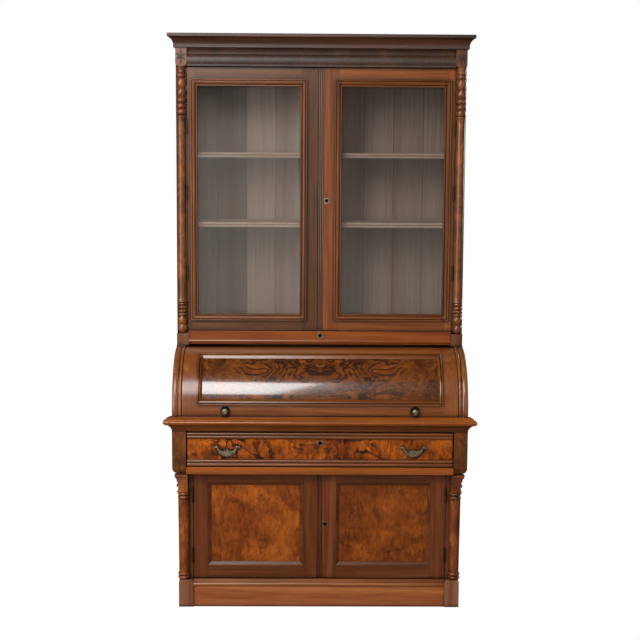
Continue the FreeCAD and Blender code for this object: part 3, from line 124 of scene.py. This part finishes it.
def dress(material, *names):
    """Give CAD nodes their finish."""
    for name in names:
        nodes[name].data.materials.clear()
        nodes[name].data.materials.append(material)


dress(walnut("walnut_plinth", "X", "703c1c", "94522b", "ad693a"), "plinth_board")
dress(walnut("walnut_plinth_cap", "X", "5a2e0f", "7c441b", "965b2c"), "plinth_moulding")
dress(walnut("walnut_plinth_block", "Z", "643c26", "825137", "97674b"), "plinth_blocks")

# Base: walnut sides carry the case, with a half-round turned column, about 40 mm across, veneered in
# burl, glued on each front stile. The boards inside and the back are plain wood, planed and unpolished.


def burl(name, dark, middle, light, vein, eyes=0.6, reach=600, curl=62, spread=0.47, roughness=0.28,
         coat=0.2):
    """Polished burl veneer: mottled clouds, upright flecks, patches of curled eyes, wandering veins.

    The curls have a size in mm, and the eyes fade past a reach in mm from the middle of the case."""
    material, tree = blank(name)
    place = add(tree, "TexCoord", {}, "Object")
    upright = add(tree, "Mapping", {"Vector": place, "Scale": (1, 1, 0.35)})
    clouds = add(tree, "TexNoise", {"Vector": place, "Scale": 1000 / 125, "Detail": 4.0, "Roughness": 0.6,
                                    "Distortion": 1.0})
    mottle = add(tree, "TexNoise", {"Vector": upright, "Scale": 1000 / 14, "Detail": 4.0, "Roughness": 0.65,
                                    "Distortion": 1.0})
    figure = add(tree, "Mix", {0: 0.45, 2: clouds, 3: mottle})
    tint = add(tree, "ValToRGB", {"Fac": figure}, stops=((0.36, dark), (0.5, middle), (0.64, light)))
    specks = add(tree, "TexNoise", {"Vector": upright, "Scale": 1000 / 7.7, "Detail": 2.0, "Roughness": 0.5,
                                    "Distortion": 0.5})
    flecks = add(tree, "ValToRGB", {"Fac": specks}, stops=((0.6, "000000"), (0.7, "ffffff")))
    share = add(tree, "Math", {0: flecks, 1: 0.6}, operation="MULTIPLY")
    tint = add(tree, "Mix", {0: share, 6: tint, 7: colour(dark)}, 2, data_type="RGBA")
    curls = add(tree, "TexNoise", {"Vector": place, "Scale": 1000 / curl, "Detail": 4.0, "Roughness": 0.55,
                                   "Distortion": 1.2})
    steps = add(tree, "Math", {0: curls, 1: 11.0}, operation="MULTIPLY")
    rings = add(tree, "Math", {0: steps, 1: 1.0}, operation="PINGPONG")
    ringed = add(tree, "ValToRGB", {"Fac": rings}, stops=((0.15, "ffffff"), (0.6, "000000")))
    groups = add(tree, "TexNoise", {"Vector": place, "Scale": 1000 / 222, "Detail": 2.0, "Roughness": 0.5,
                                    "Distortion": 0.4})
    patches = add(tree, "ValToRGB", {"Fac": groups}, stops=((spread, "000000"), (spread + 0.13, "ffffff")))
    x = add(tree, "SeparateXYZ", {"Vector": place}, "X")
    away = add(tree, "Math", {0: x}, operation="ABSOLUTE")
    close = add(tree, "MapRange", {"Value": away, "From Min": reach / 1000, "From Max": reach / 1000 + 0.1,
                                   "To Min": eyes, "To Max": eyes / 4}, interpolation_type="SMOOTHSTEP")
    eyed = add(tree, "Math", {0: ringed, 1: patches}, operation="MULTIPLY")
    share = add(tree, "Math", {0: eyed, 1: close}, operation="MULTIPLY")
    tint = add(tree, "Mix", {0: share, 6: tint, 7: colour(vein)}, 2, data_type="RGBA")
    wander = add(tree, "TexNoise", {"Vector": place, "Scale": 1000 / 238, "Detail": 3.0, "Roughness": 0.55,
                                    "Distortion": 1.4})
    line = add(tree, "ValToRGB", {"Fac": wander},
               stops=((0.488, "000000"), (0.5, "ffffff"), (0.512, "000000")))
    breaks = add(tree, "TexNoise", {"Vector": place, "Scale": 1000 / 154, "Detail": 2.0, "Roughness": 0.55})
    broken = add(tree, "ValToRGB", {"Fac": breaks}, stops=((0.48, "000000"), (0.6, "cccccc")))
    share = add(tree, "Math", {0: line, 1: broken}, operation="MULTIPLY")
    tint = add(tree, "Mix", {0: share, 6: tint, 7: colour(vein)}, 2, data_type="RGBA")
    edge = add(tree, "Bevel", {"Radius": 0.0015}, samples=4)
    # The burl's corners and quirks are darkened with painted shade.
    shader = add(tree, "BsdfPrincipled", {"Base Color": painted_corner_shade(tree, tint), "Normal": edge,
                                          "Roughness": roughness, "Coat Weight": coat,
                                          "Coat Roughness": 0.12})
    add(tree, "OutputMaterial", {"Surface": shader})
    return material


# The sides are sawn walnut, darker and duller than the fronts; the columns' shellac is worn thin.
upright_walnut = walnut("walnut_side", "Z", "4c2a16", "663c22", "7d4f30")
plain_wood = walnut("plain_planed_wood", "X", "6e4a35", "8f664c", "a98066", roughness=0.6, coat=0.0)
dress(upright_walnut, "base_side_left", "base_side_right")
dress(burl("burl_base_column", "4f2204", "7c3806", "a2581a", "2c1305", eyes=0.45, roughness=0.42,
           coat=0.05), "base_columns")
dress(plain_wood, "cupboard_boards", "case_back", "shelf_cleats")

# Drawer storey: a walnut rail, two rounded corner blocks faced in burl, and a dovetailed drawer on
# runners. Its front has the richest veneer, orange with dark curled eyes over the middle 700 mm,
# between two planted beads.
light_walnut = walnut("walnut_rail", "X", "68340b", "8c4816", "a35c24")
trim_walnut = walnut("walnut_bead_trim", "X", "4f2608", "6c360d", "864a17", roughness=0.34, coat=0.0)
dress(light_walnut, "drawer_rail")
dress(burl("burl_drawer_front", "421902", "8c4104", "c4650e", "1c0901", eyes=0.95, reach=360, curl=111,
           spread=0.36), "drawer_front")
dress(burl("burl_corner_block", "44220a", "62340f", "7a4518", "241003", eyes=0.4), "drawer_blocks")
dress(trim_walnut, "drawer_moulding")
dress(plain_wood, "drawer_box", "drawer_runners")

# Drop pulls: cast brass bails, 84 mm wide, that swing on two studs bolted through the front.
# The brass has gone grey-green in its hollows; the hinges are painted darkest, as painted shade for the
# gaps where they hang.


def patinated(name, dark, light, hinge_shade, roughness):
    """Old metal: patina in patches of 7 mm, and painted shade on the hinges past 430 mm from the middle."""
    material, tree = blank(name)
    place = add(tree, "TexCoord", {}, "Object")
    patina = add(tree, "TexNoise", {"Vector": place, "Scale": 1000 / 7, "Detail": 4.0, "Roughness": 0.55})
    tint = add(tree, "ValToRGB", {"Fac": patina}, stops=((0.35, dark), (0.65, light)))
    x = add(tree, "SeparateXYZ", {"Vector": place}, "X")
    away = add(tree, "Math", {0: x}, operation="ABSOLUTE")
    hinge_start = 0.43
    hinge = add(tree, "Math", {0: away, 1: hinge_start}, operation="GREATER_THAN")
    tint = add(tree, "Mix", {0: hinge, 6: tint, 7: colour(hinge_shade)}, 2, data_type="RGBA")
    edge = add(tree, "Bevel", {"Radius": 0.0008}, samples=4)
    shader = add(tree, "BsdfPrincipled", {"Base Color": tint, "Normal": edge, "Metallic": 1.0,
                                          "Roughness": roughness})
    add(tree, "OutputMaterial", {"Surface": shader})
    return material


brass = patinated("patinated_brass", "6c6248", "b8ae8c", "4a3d24", 0.45)
dress(brass, "drawer_fittings", "pull_bail_left", "pull_bail_right")

# Ledge and writing slide: moulded walnut round the desk at 756 mm, mitred at the corners over a
# cove. The front length is the nosed lip of the slide, which runs on a hidden bed of plain wood.
dress(light_walnut, "ledge_ends", "writing_slide")
dress(trim_walnut, "ledge_cove")
dress(plain_wood, "slide_bed")

# Desk sides: shaped walnut boards with reeds worked round their curved front edges. Between them
# stands the pigeonhole nest, of thin waxed walnut, with a letter drawer at each end.
lid_walnut = walnut("walnut_lid_rail", "X", "5c2f12", "7d451e", "935a2e")
dress(upright_walnut, "desk_side_left", "desk_side_right")
dress(walnut("walnut_reed", "Z", "643413", "824a20", "996034"), "side_beads")
dress(walnut("walnut_waxed_nest", "X", "5a3a22", "7a5234", "93683f", roughness=0.45, coat=0.0),
      "pigeonhole_nest")
dress(lid_walnut, "letter_drawer_left", "letter_drawer_right")

# Cylinder lid: a curved walnut frame round a panel of crotch veneer, book-matched about the middle,
# with a planted moulding. It hangs on two iron arms, and lifts by brass knobs on black rosettes.
dress(walnut("walnut_lid_stile", "Z", "5c2f12", "7d451e", "935a2e"), "lid_stiles")
dress(lid_walnut, "lid_rails")
# The moulding's lengths run across the whole panel, and its uprights stand past 451 mm.
dress(walnut("walnut_lid_moulding", "Z", "4c2408", "6c3812", "85501f", roughness=0.22, ease=3,
             rails=(-10, 451)), "lid_moulding")
dress(brass, "lid_knobs")
iron = patinated("black_iron", "1c1a19", "2c2927", "1c1a19", 0.55)
dress(iron, "lid_arms", "lid_rosettes")

# The crotch veneer has a deep gloss over dark flame lines, which mirror each other and fade to the ends.
crotch, tree = blank("crotch_veneer")
split = add(tree, "SeparateXYZ", {"Vector": add(tree, "TexCoord", {}, "Object")}).node.outputs
away = add(tree, "Math", {0: split["X"]}, operation="ABSOLUTE")
matched = add(tree, "CombineXYZ", {"X": away, "Y": split["Y"], "Z": split["Z"]})
clouds = add(tree, "TexNoise", {"Vector": matched, "Scale": 1000 / 125, "Detail": 4.0, "Roughness": 0.6,
                                "Distortion": 1.6})
curls = add(tree, "TexNoise", {"Vector": matched, "Scale": 1000 / 22, "Detail": 4.0, "Roughness": 0.6,
                               "Distortion": 1.5})
figure = add(tree, "Mix", {0: 0.4, 2: clouds, 3: curls})
tint = add(tree, "ValToRGB", {"Fac": figure}, stops=((0.36, "301406"), (0.5, "60300b"), (0.64, "844815")))
stretched = add(tree, "Mapping", {"Vector": matched, "Scale": (1000 / 148, 1000 / 67, 1000 / 67)})
flames = add(tree, "TexNoise", {"Vector": stretched, "Scale": 1.0, "Detail": 3.0, "Roughness": 0.5,
                                "Distortion": 0.8})
steps = add(tree, "Math", {0: flames, 1: 16.0}, operation="MULTIPLY")
waves = add(tree, "Math", {0: steps, 1: 1.0}, operation="PINGPONG")
lines = add(tree, "ValToRGB", {"Fac": waves}, stops=((0.2, "ffffff"), (0.5, "000000")))
near = add(tree, "MapRange", {"Value": away, "From Min": 0.22, "From Max": 0.42,
                              "To Min": 0.8, "To Max": 0.12}, interpolation_type="SMOOTHSTEP")
share = add(tree, "Math", {0: lines, 1: near}, operation="MULTIPLY")
tint = add(tree, "Mix", {0: share, 6: tint, 7: colour("1f0e05")}, 2, data_type="RGBA")
# The veneer's corners are darkened with painted shade.
shader = add(tree, "BsdfPrincipled", {"Base Color": painted_corner_shade(tree, tint), "Roughness": 0.24,
                                      "Coat Weight": 1.0, "Coat Roughness": 0.09})
add(tree, "OutputMaterial", {"Surface": shader})
dress(crotch, "lid_panel")

# Bookcase: walnut sides and head blocks, turned half columns, two shelves on cleats, and above the
# doors a frieze and cornice, planed to profile and mitred. It stands on the desk behind the header.
dress(walnut("walnut_header", "X", "5a2704", "7a3808", "904a16"), "lid_header")
dress(upright_walnut, "column_blocks", "bookcase_side_left", "bookcase_side_right")
dress(burl("burl_shaft", "4a2408", "723c10", "945620", "2a1406", eyes=0.5, roughness=0.38, coat=0.1),
      "bookcase_columns")
dress(plain_wood, "bookcase_boards")
dress(brass, "case_hardware")
# The cornice and the frieze's veneer are coloured dark, partly their own tone and partly painted shade for
# the top of the case; the shelves are pale and dry.
dress(walnut("walnut_cornice", "X", "241004", "361a07", "49270e", roughness=0.45, coat=0.0), "cornice")
dress(burl("burl_frieze", "200e03", "341a07", "4d2a10", "160902", eyes=0.2, roughness=0.48, coat=0.0),
      "frieze")
dress(walnut("dry_shelf_wood", "X", "94745f", "b08d76", "c2a48e", roughness=0.6, coat=0.0),
      "bookcase_shelves")

# Back boards: nine rough-sawn boards, 1086 mm over all, nailed upright in a rebate. Each has its own
# grey-brown tone with rusty stains, and dark open seams between them.
boards, tree = blank("rough_sawn_boards")
back_width, board_count, seam_half = 1.086, 9, 0.0016
pitch = back_width / board_count
place = add(tree, "TexCoord", {}, "Object")
x = add(tree, "SeparateXYZ", {"Vector": place}, "X")
from_edge = add(tree, "Math", {0: x, 1: back_width / 2}, operation="ADD")
counted = add(tree, "Math", {0: from_edge, 1: pitch}, operation="DIVIDE")
number = add(tree, "Math", {0: counted}, operation="FLOOR")
tone = add(tree, "TexWhiteNoise", {"W": number}, noise_dimensions="1D")
laid = add(tree, "Mapping", {"Vector": place, "Scale": (1000 / 14, 1000 / 14, 1000 / 380)})
streaks = add(tree, "TexNoise", {"Vector": laid, "Scale": 1.0, "Detail": 5.0, "Roughness": 0.6,
                                 "Distortion": 0.6})
figure = add(tree, "Mix", {0: 0.5, 2: streaks, 3: tone})
tint = add(tree, "ValToRGB", {"Fac": figure}, stops=((0.25, "5a4537"), (0.5, "7b6352"), (0.75, "998172")))
spots = add(tree, "TexNoise", {"Vector": laid, "Scale": 0.1, "Detail": 3.0, "Roughness": 0.5,
                               "Distortion": 0.5})
stain = add(tree, "ValToRGB", {"Fac": spots}, stops=((0.4, "ffffff"), (0.65, "d2a67e")))
tint = add(tree, "Mix", {0: 1.0, 6: tint, 7: stain}, 2, data_type="RGBA", blend_type="MULTIPLY")
to_seam = add(tree, "Math", {0: from_edge, 1: pitch / 2}, operation="PINGPONG")
seam = add(tree, "Math", {0: to_seam, 1: seam_half}, operation="LESS_THAN")
share = add(tree, "Math", {0: seam, 1: 0.55}, operation="MULTIPLY")
tint = add(tree, "Mix", {0: share, 6: tint, 7: colour("2b221d")}, 2, data_type="RGBA")
shader = add(tree, "BsdfPrincipled", {"Base Color": tint, "Roughness": 0.7})
add(tree, "OutputMaterial", {"Surface": shader})
dress(boards, "bookcase_back_boards")

# Glazed doors: tenoned walnut frames on butt hinges, each with a moulding that holds a drawn glass
# pane. The left door is browner than the right one. Rails meet stiles 74 and 489 mm from the middle.
door_joints, bead_joints = (74, 489), (81, 482)
door_walnut = {"left": walnut("walnut_door_left", "Z", "3e230d", "563318", "6c4528", rails=door_joints),
               "right": walnut("walnut_door_right", "Z", "5a2c0d", "7d4319", "9a5c29", rails=door_joints)}
glass_bead = walnut("walnut_glass_bead", "Z", "47240b", "663514", "824b20", roughness=0.22, ease=4,
                    rails=bead_joints)

# Old drawn glass: nearly clear, with a film of dust and a slow ripple that bends what it mirrors.
# Light passes it straight, so the back of a pane is given the air's side of the IOR.
glass, tree = blank("old_drawn_glass")
place = add(tree, "TexCoord", {}, "Object")
swell = add(tree, "TexNoise", {"Vector": place, "Scale": 1000 / 143, "Detail": 1.0, "Roughness": 0.55})
ripple = add(tree, "Bump", {"Height": swell, "Strength": 0.05, "Distance": 0.01})
clear = add(tree, "BsdfTransparent", {"Color": colour("f0f2f2")})
dust = add(tree, "BsdfDiffuse", {"Color": colour("d8cdc2")})
filmed = add(tree, "MixShader", {0: 0.015, 1: clear, 2: dust})
mirror = add(tree, "BsdfGlossy", {"Normal": ripple, "Roughness": 0.03})
glass_ior = 1.52
behind = add(tree, "NewGeometry", {}, "Backfacing")
ior = add(tree, "MapRange", {"Value": behind, "To Min": glass_ior, "To Max": 1 / glass_ior})
facing = add(tree, "Fresnel", {"IOR": ior})
pane = add(tree, "MixShader", {0: facing, 1: filmed, 2: mirror})
add(tree, "OutputMaterial", {"Surface": pane})
for side in ("left", "right"):
    dress(door_walnut[side], f"glass_door_{side}_frame")
    dress(glass_bead, f"glass_door_{side}_moulding")
    dress(glass, f"glass_door_{side}_pane")
    dress(brass, f"glass_door_{side}_hardware")

# Cupboard doors: tenoned frames of dark walnut on butt hinges, round fielded panels veneered in
# burl. The right panel is a shade darker than the left. Rails meet stiles 64 and 431.5 mm out.
cupboard_joints = (64, 431.5)
cupboard_walnut = walnut("walnut_cupboard", "Z", "45220b", "602f12", "774222", rails=cupboard_joints)
cupboard_burl = {"left": burl("burl_panel_left", "5a2604", "88410b", "ac5a15", "2a1003", eyes=0.3),
                 "right": burl("burl_panel_right", "4f2103", "793909", "9c5013", "260e03", eyes=0.3)}
for side in ("left", "right"):
    dress(cupboard_walnut, f"cupboard_door_{side}_frame")
    dress(cupboard_burl[side], f"cupboard_door_{side}_panel")
    dress(brass, f"cupboard_door_{side}_hardware")

# Keyholes: a dished plate of black iron, 15 mm across, pressed into each brass escutcheon, with a round
# hole over a slot, 11 mm high in all, drawn as a near-black shape of painted shade. Both are modelled once
# and copied to the four locks.


def pick(piece, wanted):
    """Go to edit mode with only the wanted faces selected."""
    bpy.ops.object.mode_set(mode="EDIT")
    bpy.ops.mesh.select_mode(type="FACE")
    bpy.ops.mesh.select_all(action="DESELECT")
    bpy.ops.object.mode_set(mode="OBJECT")
    for face in piece.data.polygons:
        face.select = wanted(face)
    bpy.ops.object.mode_set(mode="EDIT")


def copied(model, name, move, material, body):
    """A copy of a modelled piece with its own mesh, moved to its place and put on its body."""
    piece = model.copy()
    piece.data = model.data.copy()
    piece.data.transform(move)
    piece.data.materials.append(material)
    piece.name = name
    bpy.context.collection.objects.link(piece)
    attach(piece, body)


plate_radius, plate_thickness, rim, dish = 0.0075, 0.0006, 0.0012, 0.0002
hole_radius, hole_depth, hole_rise, slot_drop, slot_foot = 0.0036, 0.0004, 0.0016, 0.004, -0.0059
facing_front = (math.pi / 2, 0, 0)

bpy.ops.object.select_all(action="DESELECT")
bpy.ops.mesh.primitive_cylinder_add(vertices=32, radius=plate_radius, depth=plate_thickness,
                                    rotation=facing_front)
plate = bpy.context.object
bpy.ops.object.transform_apply(location=True, rotation=True, scale=True)
pick(plate, lambda face: face.normal.y < -0.9)
bpy.ops.mesh.inset(thickness=rim)
bpy.ops.transform.translate(value=(0, dish, 0))
bpy.ops.object.mode_set(mode="OBJECT")

# The hole's lowest facet is drawn down and flattened into the slot.
bpy.ops.object.select_all(action="DESELECT")
bpy.ops.mesh.primitive_cylinder_add(vertices=24, radius=hole_radius, depth=hole_depth,
                                    location=(0, -hole_depth / 2, hole_rise), rotation=facing_front)
hole = bpy.context.object
bpy.ops.object.transform_apply(location=True, rotation=True, scale=True)
pick(hole, lambda face: face.normal.z < -0.9)
bpy.ops.mesh.extrude_region_move(TRANSFORM_OT_translate={"value": (0, 0, -slot_drop)})
bpy.ops.transform.resize(value=(0.9, 1, 0), center_override=(0, 0, slot_foot))
bpy.ops.object.mode_set(mode="OBJECT")

# The keyhole is a near-black shape, painted shade for the unlit inside of the lock.
keyhole_shade, tree = blank("painted_keyhole_shade")
shader = add(tree, "BsdfPrincipled", {"Base Color": colour("060505"), "Roughness": 0.8,
                                      "Specular IOR Level": 0.0})
add(tree, "OutputMaterial", {"Surface": shader})
for name, body, x, y, z in (("header_keyhole", "case", 0.0, -0.0114, 1.036),
                            ("drawer_keyhole", "drawer", 0.0, -0.2524, 0.653),
                            ("glass_door_keyhole", "glass_door_right", 0.023, 0.0046, 1.567),
                            ("cupboard_keyhole", "cupboard_door_right", 0.0209, -0.2154, 0.325)):
    move = Matrix.Translation((x, y, z))
    copied(plate, f"{name}_plate", move, iron, body)
    copied(hole, name, move, keyhole_shade, body)
for model in (plate, hole):
    bpy.data.objects.remove(model)

# Carved capitals: six gouged leaves round a boss, cut in the solid of each head block of the bookcase. The
# cross is 36 mm wide and 57 mm high, its wood coloured far darker than the block's, with painted shade in
# its corners.
leaf_width, leaf_thickness, leaf_length, leaf_edge, gouge = 0.0075, 0.004, 0.02, 0.001, 0.0012
leaf_start, shoulder_low, shoulder_high = 0.004, 0.005, 0.013
boss_radius, boss_step, boss_rise = 0.005, 0.002, 0.0008
block_middle, block_front, block_height = 0.543, -0.014, 2.121

# One leaf: drawn out to a tip, drawn in to its root, and hollowed along the front.
bpy.ops.object.select_all(action="DESELECT")
bpy.ops.mesh.primitive_cube_add(size=1, location=(0, 0, (shoulder_low + shoulder_high) / 2),
                                scale=(leaf_width, leaf_thickness, shoulder_high - shoulder_low))
leaf = bpy.context.object
bpy.ops.object.transform_apply(location=True, rotation=True, scale=True)
pick(leaf, lambda face: face.normal.z > 0.9)
bpy.ops.mesh.extrude_region_move(TRANSFORM_OT_translate={"value": (0, 0, leaf_length - shoulder_high)})
bpy.ops.transform.resize(value=(0.15, 0.5, 1), center_override=(0, 0, leaf_length))
pick(leaf, lambda face: face.normal.z < -0.9)
bpy.ops.mesh.extrude_region_move(TRANSFORM_OT_translate={"value": (0, 0, -shoulder_low)})
bpy.ops.transform.resize(value=(0.4, 0.7, 1), center_override=(0, 0, 0))
pick(leaf, lambda face: face.normal.y < -0.8)
bpy.ops.mesh.inset(thickness=leaf_edge)
bpy.ops.transform.translate(value=(0, gouge, 0))
bpy.ops.object.mode_set(mode="OBJECT")

# The boss has a raised middle, and the leaves are laid round it and rounded over.
bpy.ops.object.select_all(action="DESELECT")
bpy.ops.mesh.primitive_cylinder_add(vertices=16, radius=boss_radius, depth=leaf_thickness,
                                    rotation=facing_front)
carving = bpy.context.object
bpy.ops.object.transform_apply(location=True, rotation=True, scale=True)
pick(carving, lambda face: face.normal.y < -0.9)
bpy.ops.mesh.inset(thickness=boss_step)
bpy.ops.transform.translate(value=(0, -boss_rise, 0))
bpy.ops.object.mode_set(mode="OBJECT")

for turn, length in ((0, 0.024), (180, 0.026), (60, 0.017), (-60, 0.017), (125, 0.017), (-125, 0.017)):
    blade = leaf.copy()
    blade.data = leaf.data.copy()
    blade.data.transform(Matrix.Rotation(math.radians(turn), 4, "Y")
                         @ Matrix.Translation((0, 0, leaf_start))
                         @ Matrix.Diagonal((1, 1, length / leaf_length, 1)))
    bpy.context.collection.objects.link(blade)
    blade.select_set(True)
bpy.context.view_layer.objects.active = carving
bpy.ops.object.join()
rounding = carving.modifiers.new("rounding", "SUBSURF")
rounding.levels = rounding.render_levels = 2
bpy.ops.object.modifier_apply(modifier=rounding.name)
bpy.ops.object.shade_smooth()
carved = walnut("walnut_carving", "Z", "22110a", "351e10", "48291a", roughness=0.55, coat=0.0)
for side, x in (("left", -block_middle), ("right", block_middle)):
    move = Matrix.Translation((x, block_front, block_height))
    copied(carving, f"capital_carving_{side}", move, carved, "case")
for model in (leaf, carving):
    bpy.data.objects.remove(model)

# Studio: a pale paper floor that runs out to white, with little shine on the case from below.
# It isn't part of the desk.
bpy.ops.object.select_all(action="DESELECT")
floor_width = 40
bpy.ops.mesh.primitive_plane_add(size=floor_width)
floor = bpy.context.object
floor.name = "floor"
paper, tree = blank("paper")
path = add(tree, "LightPath", {}).node.outputs
matt = add(tree, "BsdfDiffuse", {"Color": colour("a8a8a8")})
dull = add(tree, "Emission", {"Color": colour("ffffff"), "Strength": 0.06})
white = add(tree, "Emission", {"Color": colour("ffffff"), "Strength": 1.0})
sheet = add(tree, "MixShader", {0: path["Is Glossy Ray"], 1: matt, 2: dull})
sheet = add(tree, "MixShader", {0: path["Is Camera Ray"], 1: sheet, 2: white})
add(tree, "OutputMaterial", {"Surface": sheet})
floor.data.materials.append(paper)

# Screens: two pale cloths 6.5 m in front, 1.25 m wide and 2.4 m high, which show only as haze on
# the panes and polish. They fade at the foot and the top, and the right one is weaker.
screen_width, screen_height, screen_front = 1.25, 2.4, -6.5
for name, x, glare, full in (("screen_left", -0.7, 1.25, 0.78), ("screen_right", 0.8, 0.75, 0.2)):
    bpy.ops.object.select_all(action="DESELECT")
    bpy.ops.mesh.primitive_plane_add(size=1, location=(x, screen_front, screen_height / 2),
                                     rotation=facing_front)
    screen = bpy.context.object
    screen.scale = (screen_width, screen_height, 1)
    bpy.ops.object.transform_apply(location=True, rotation=True, scale=True)
    screen.name = name
    cloth, tree = blank("pale_cloth")
    up = add(tree, "SeparateXYZ", {"Vector": add(tree, "TexCoord", {}, "Object")}, "Z")
    rise = add(tree, "Math", {0: up, 1: screen_height}, operation="DIVIDE")
    fade = add(tree, "ValToRGB", {"Fac": rise},
               stops=((0.04, "000000"), (0.16, "ffffff"), (full, "ffffff"), (0.96, "000000")))
    strength = add(tree, "Math", {0: fade, 1: glare}, operation="MULTIPLY")
    pale = add(tree, "Emission", {"Color": colour("fff3e6"), "Strength": strength})
    clear = add(tree, "BsdfTransparent", {"Color": colour("ffffff")})
    seen = add(tree, "LightPath", {}, "Is Glossy Ray")
    add(tree, "OutputMaterial", {"Surface": add(tree, "MixShader", {0: seen, 1: clear, 2: pale})})
    screen.data.materials.append(cloth)

# Light: a dim white room, a tall soft light far left, a softbox above the lid that puts the shine
# on its left half, a weak fill at the right and a rim light behind.
world = bpy.data.worlds.new("studio")
bpy.context.scene.world = world
world.use_nodes = True
tree = world.node_tree
tree.nodes.clear()
path = add(tree, "LightPath", {}).node.outputs
lit = add(tree, "Background", {"Color": colour("ffffff"), "Strength": 0.14})
mirrored = add(tree, "Background", {"Color": colour("ffffff"), "Strength": 0.05})
shown = add(tree, "Background", {"Color": colour("ffffff"), "Strength": 1.0})
room = add(tree, "MixShader", {0: path["Is Glossy Ray"], 1: lit, 2: mirrored})
room = add(tree, "MixShader", {0: path["Is Camera Ray"], 1: room, 2: shown})
add(tree, "OutputWorld", {"Surface": room})
for name, spot, aim, width, height, power in (
        ("key", (-2.9, -3.9, 1.7), (0.0, 0.0, 1.1), 1.6, 2.2, 96),
        ("softbox", (-1.0, -3.1, 3.4), (0.0, 0.0, 1.0), 1.9, 1.8, 122),
        ("fill", (2.6, -3.6, 1.8), (0.0, 0.0, 1.1), 1.5, 2.0, 14),
        ("rim", (3.4, 2.8, 2.3), (0.2, 0.3, 1.1), 1.4, 2.0, 90)):
    lamp = bpy.data.lights.new(name, "AREA")
    lamp.shape = "RECTANGLE"
    lamp.size = width
    lamp.size_y = height
    lamp.energy = power
    light = bpy.data.objects.new(name, lamp)
    bpy.context.collection.objects.link(light)
    run = [aim[i] - spot[i] for i in range(3)]
    turn = math.atan2(run[0], run[1])
    drop = math.atan2(run[2], math.hypot(run[0], run[1]))
    light.matrix_world = (Matrix.Translation(spot) @ Matrix.Rotation(-turn, 4, "Z")
                          @ Matrix.Rotation(math.pi / 2 + drop, 4, "X"))

# Camera: 5.4 m in front and a little to the left, 1.78 m up, looking down 7.2 degrees through a
# 78 mm lens, as fitted to the case's upright and level edges.
heading, tilt, roll = -0.754, -7.186, 0.356    # degrees
lens = bpy.data.cameras.new("camera")
lens.sensor_width = 36.0
lens.lens = 77.83
camera = bpy.data.objects.new("camera", lens)
bpy.context.collection.objects.link(camera)
camera.matrix_world = (Matrix.Translation((-0.0713, -5.442, 1.7821))
                       @ Matrix.Rotation(math.radians(heading), 4, "Z")
                       @ Matrix.Rotation(math.radians(90 + tilt), 4, "X")
                       @ Matrix.Rotation(math.radians(roll), 4, "Z"))
bpy.context.scene.camera = camera
bpy.context.scene.view_settings.view_transform = "Standard"
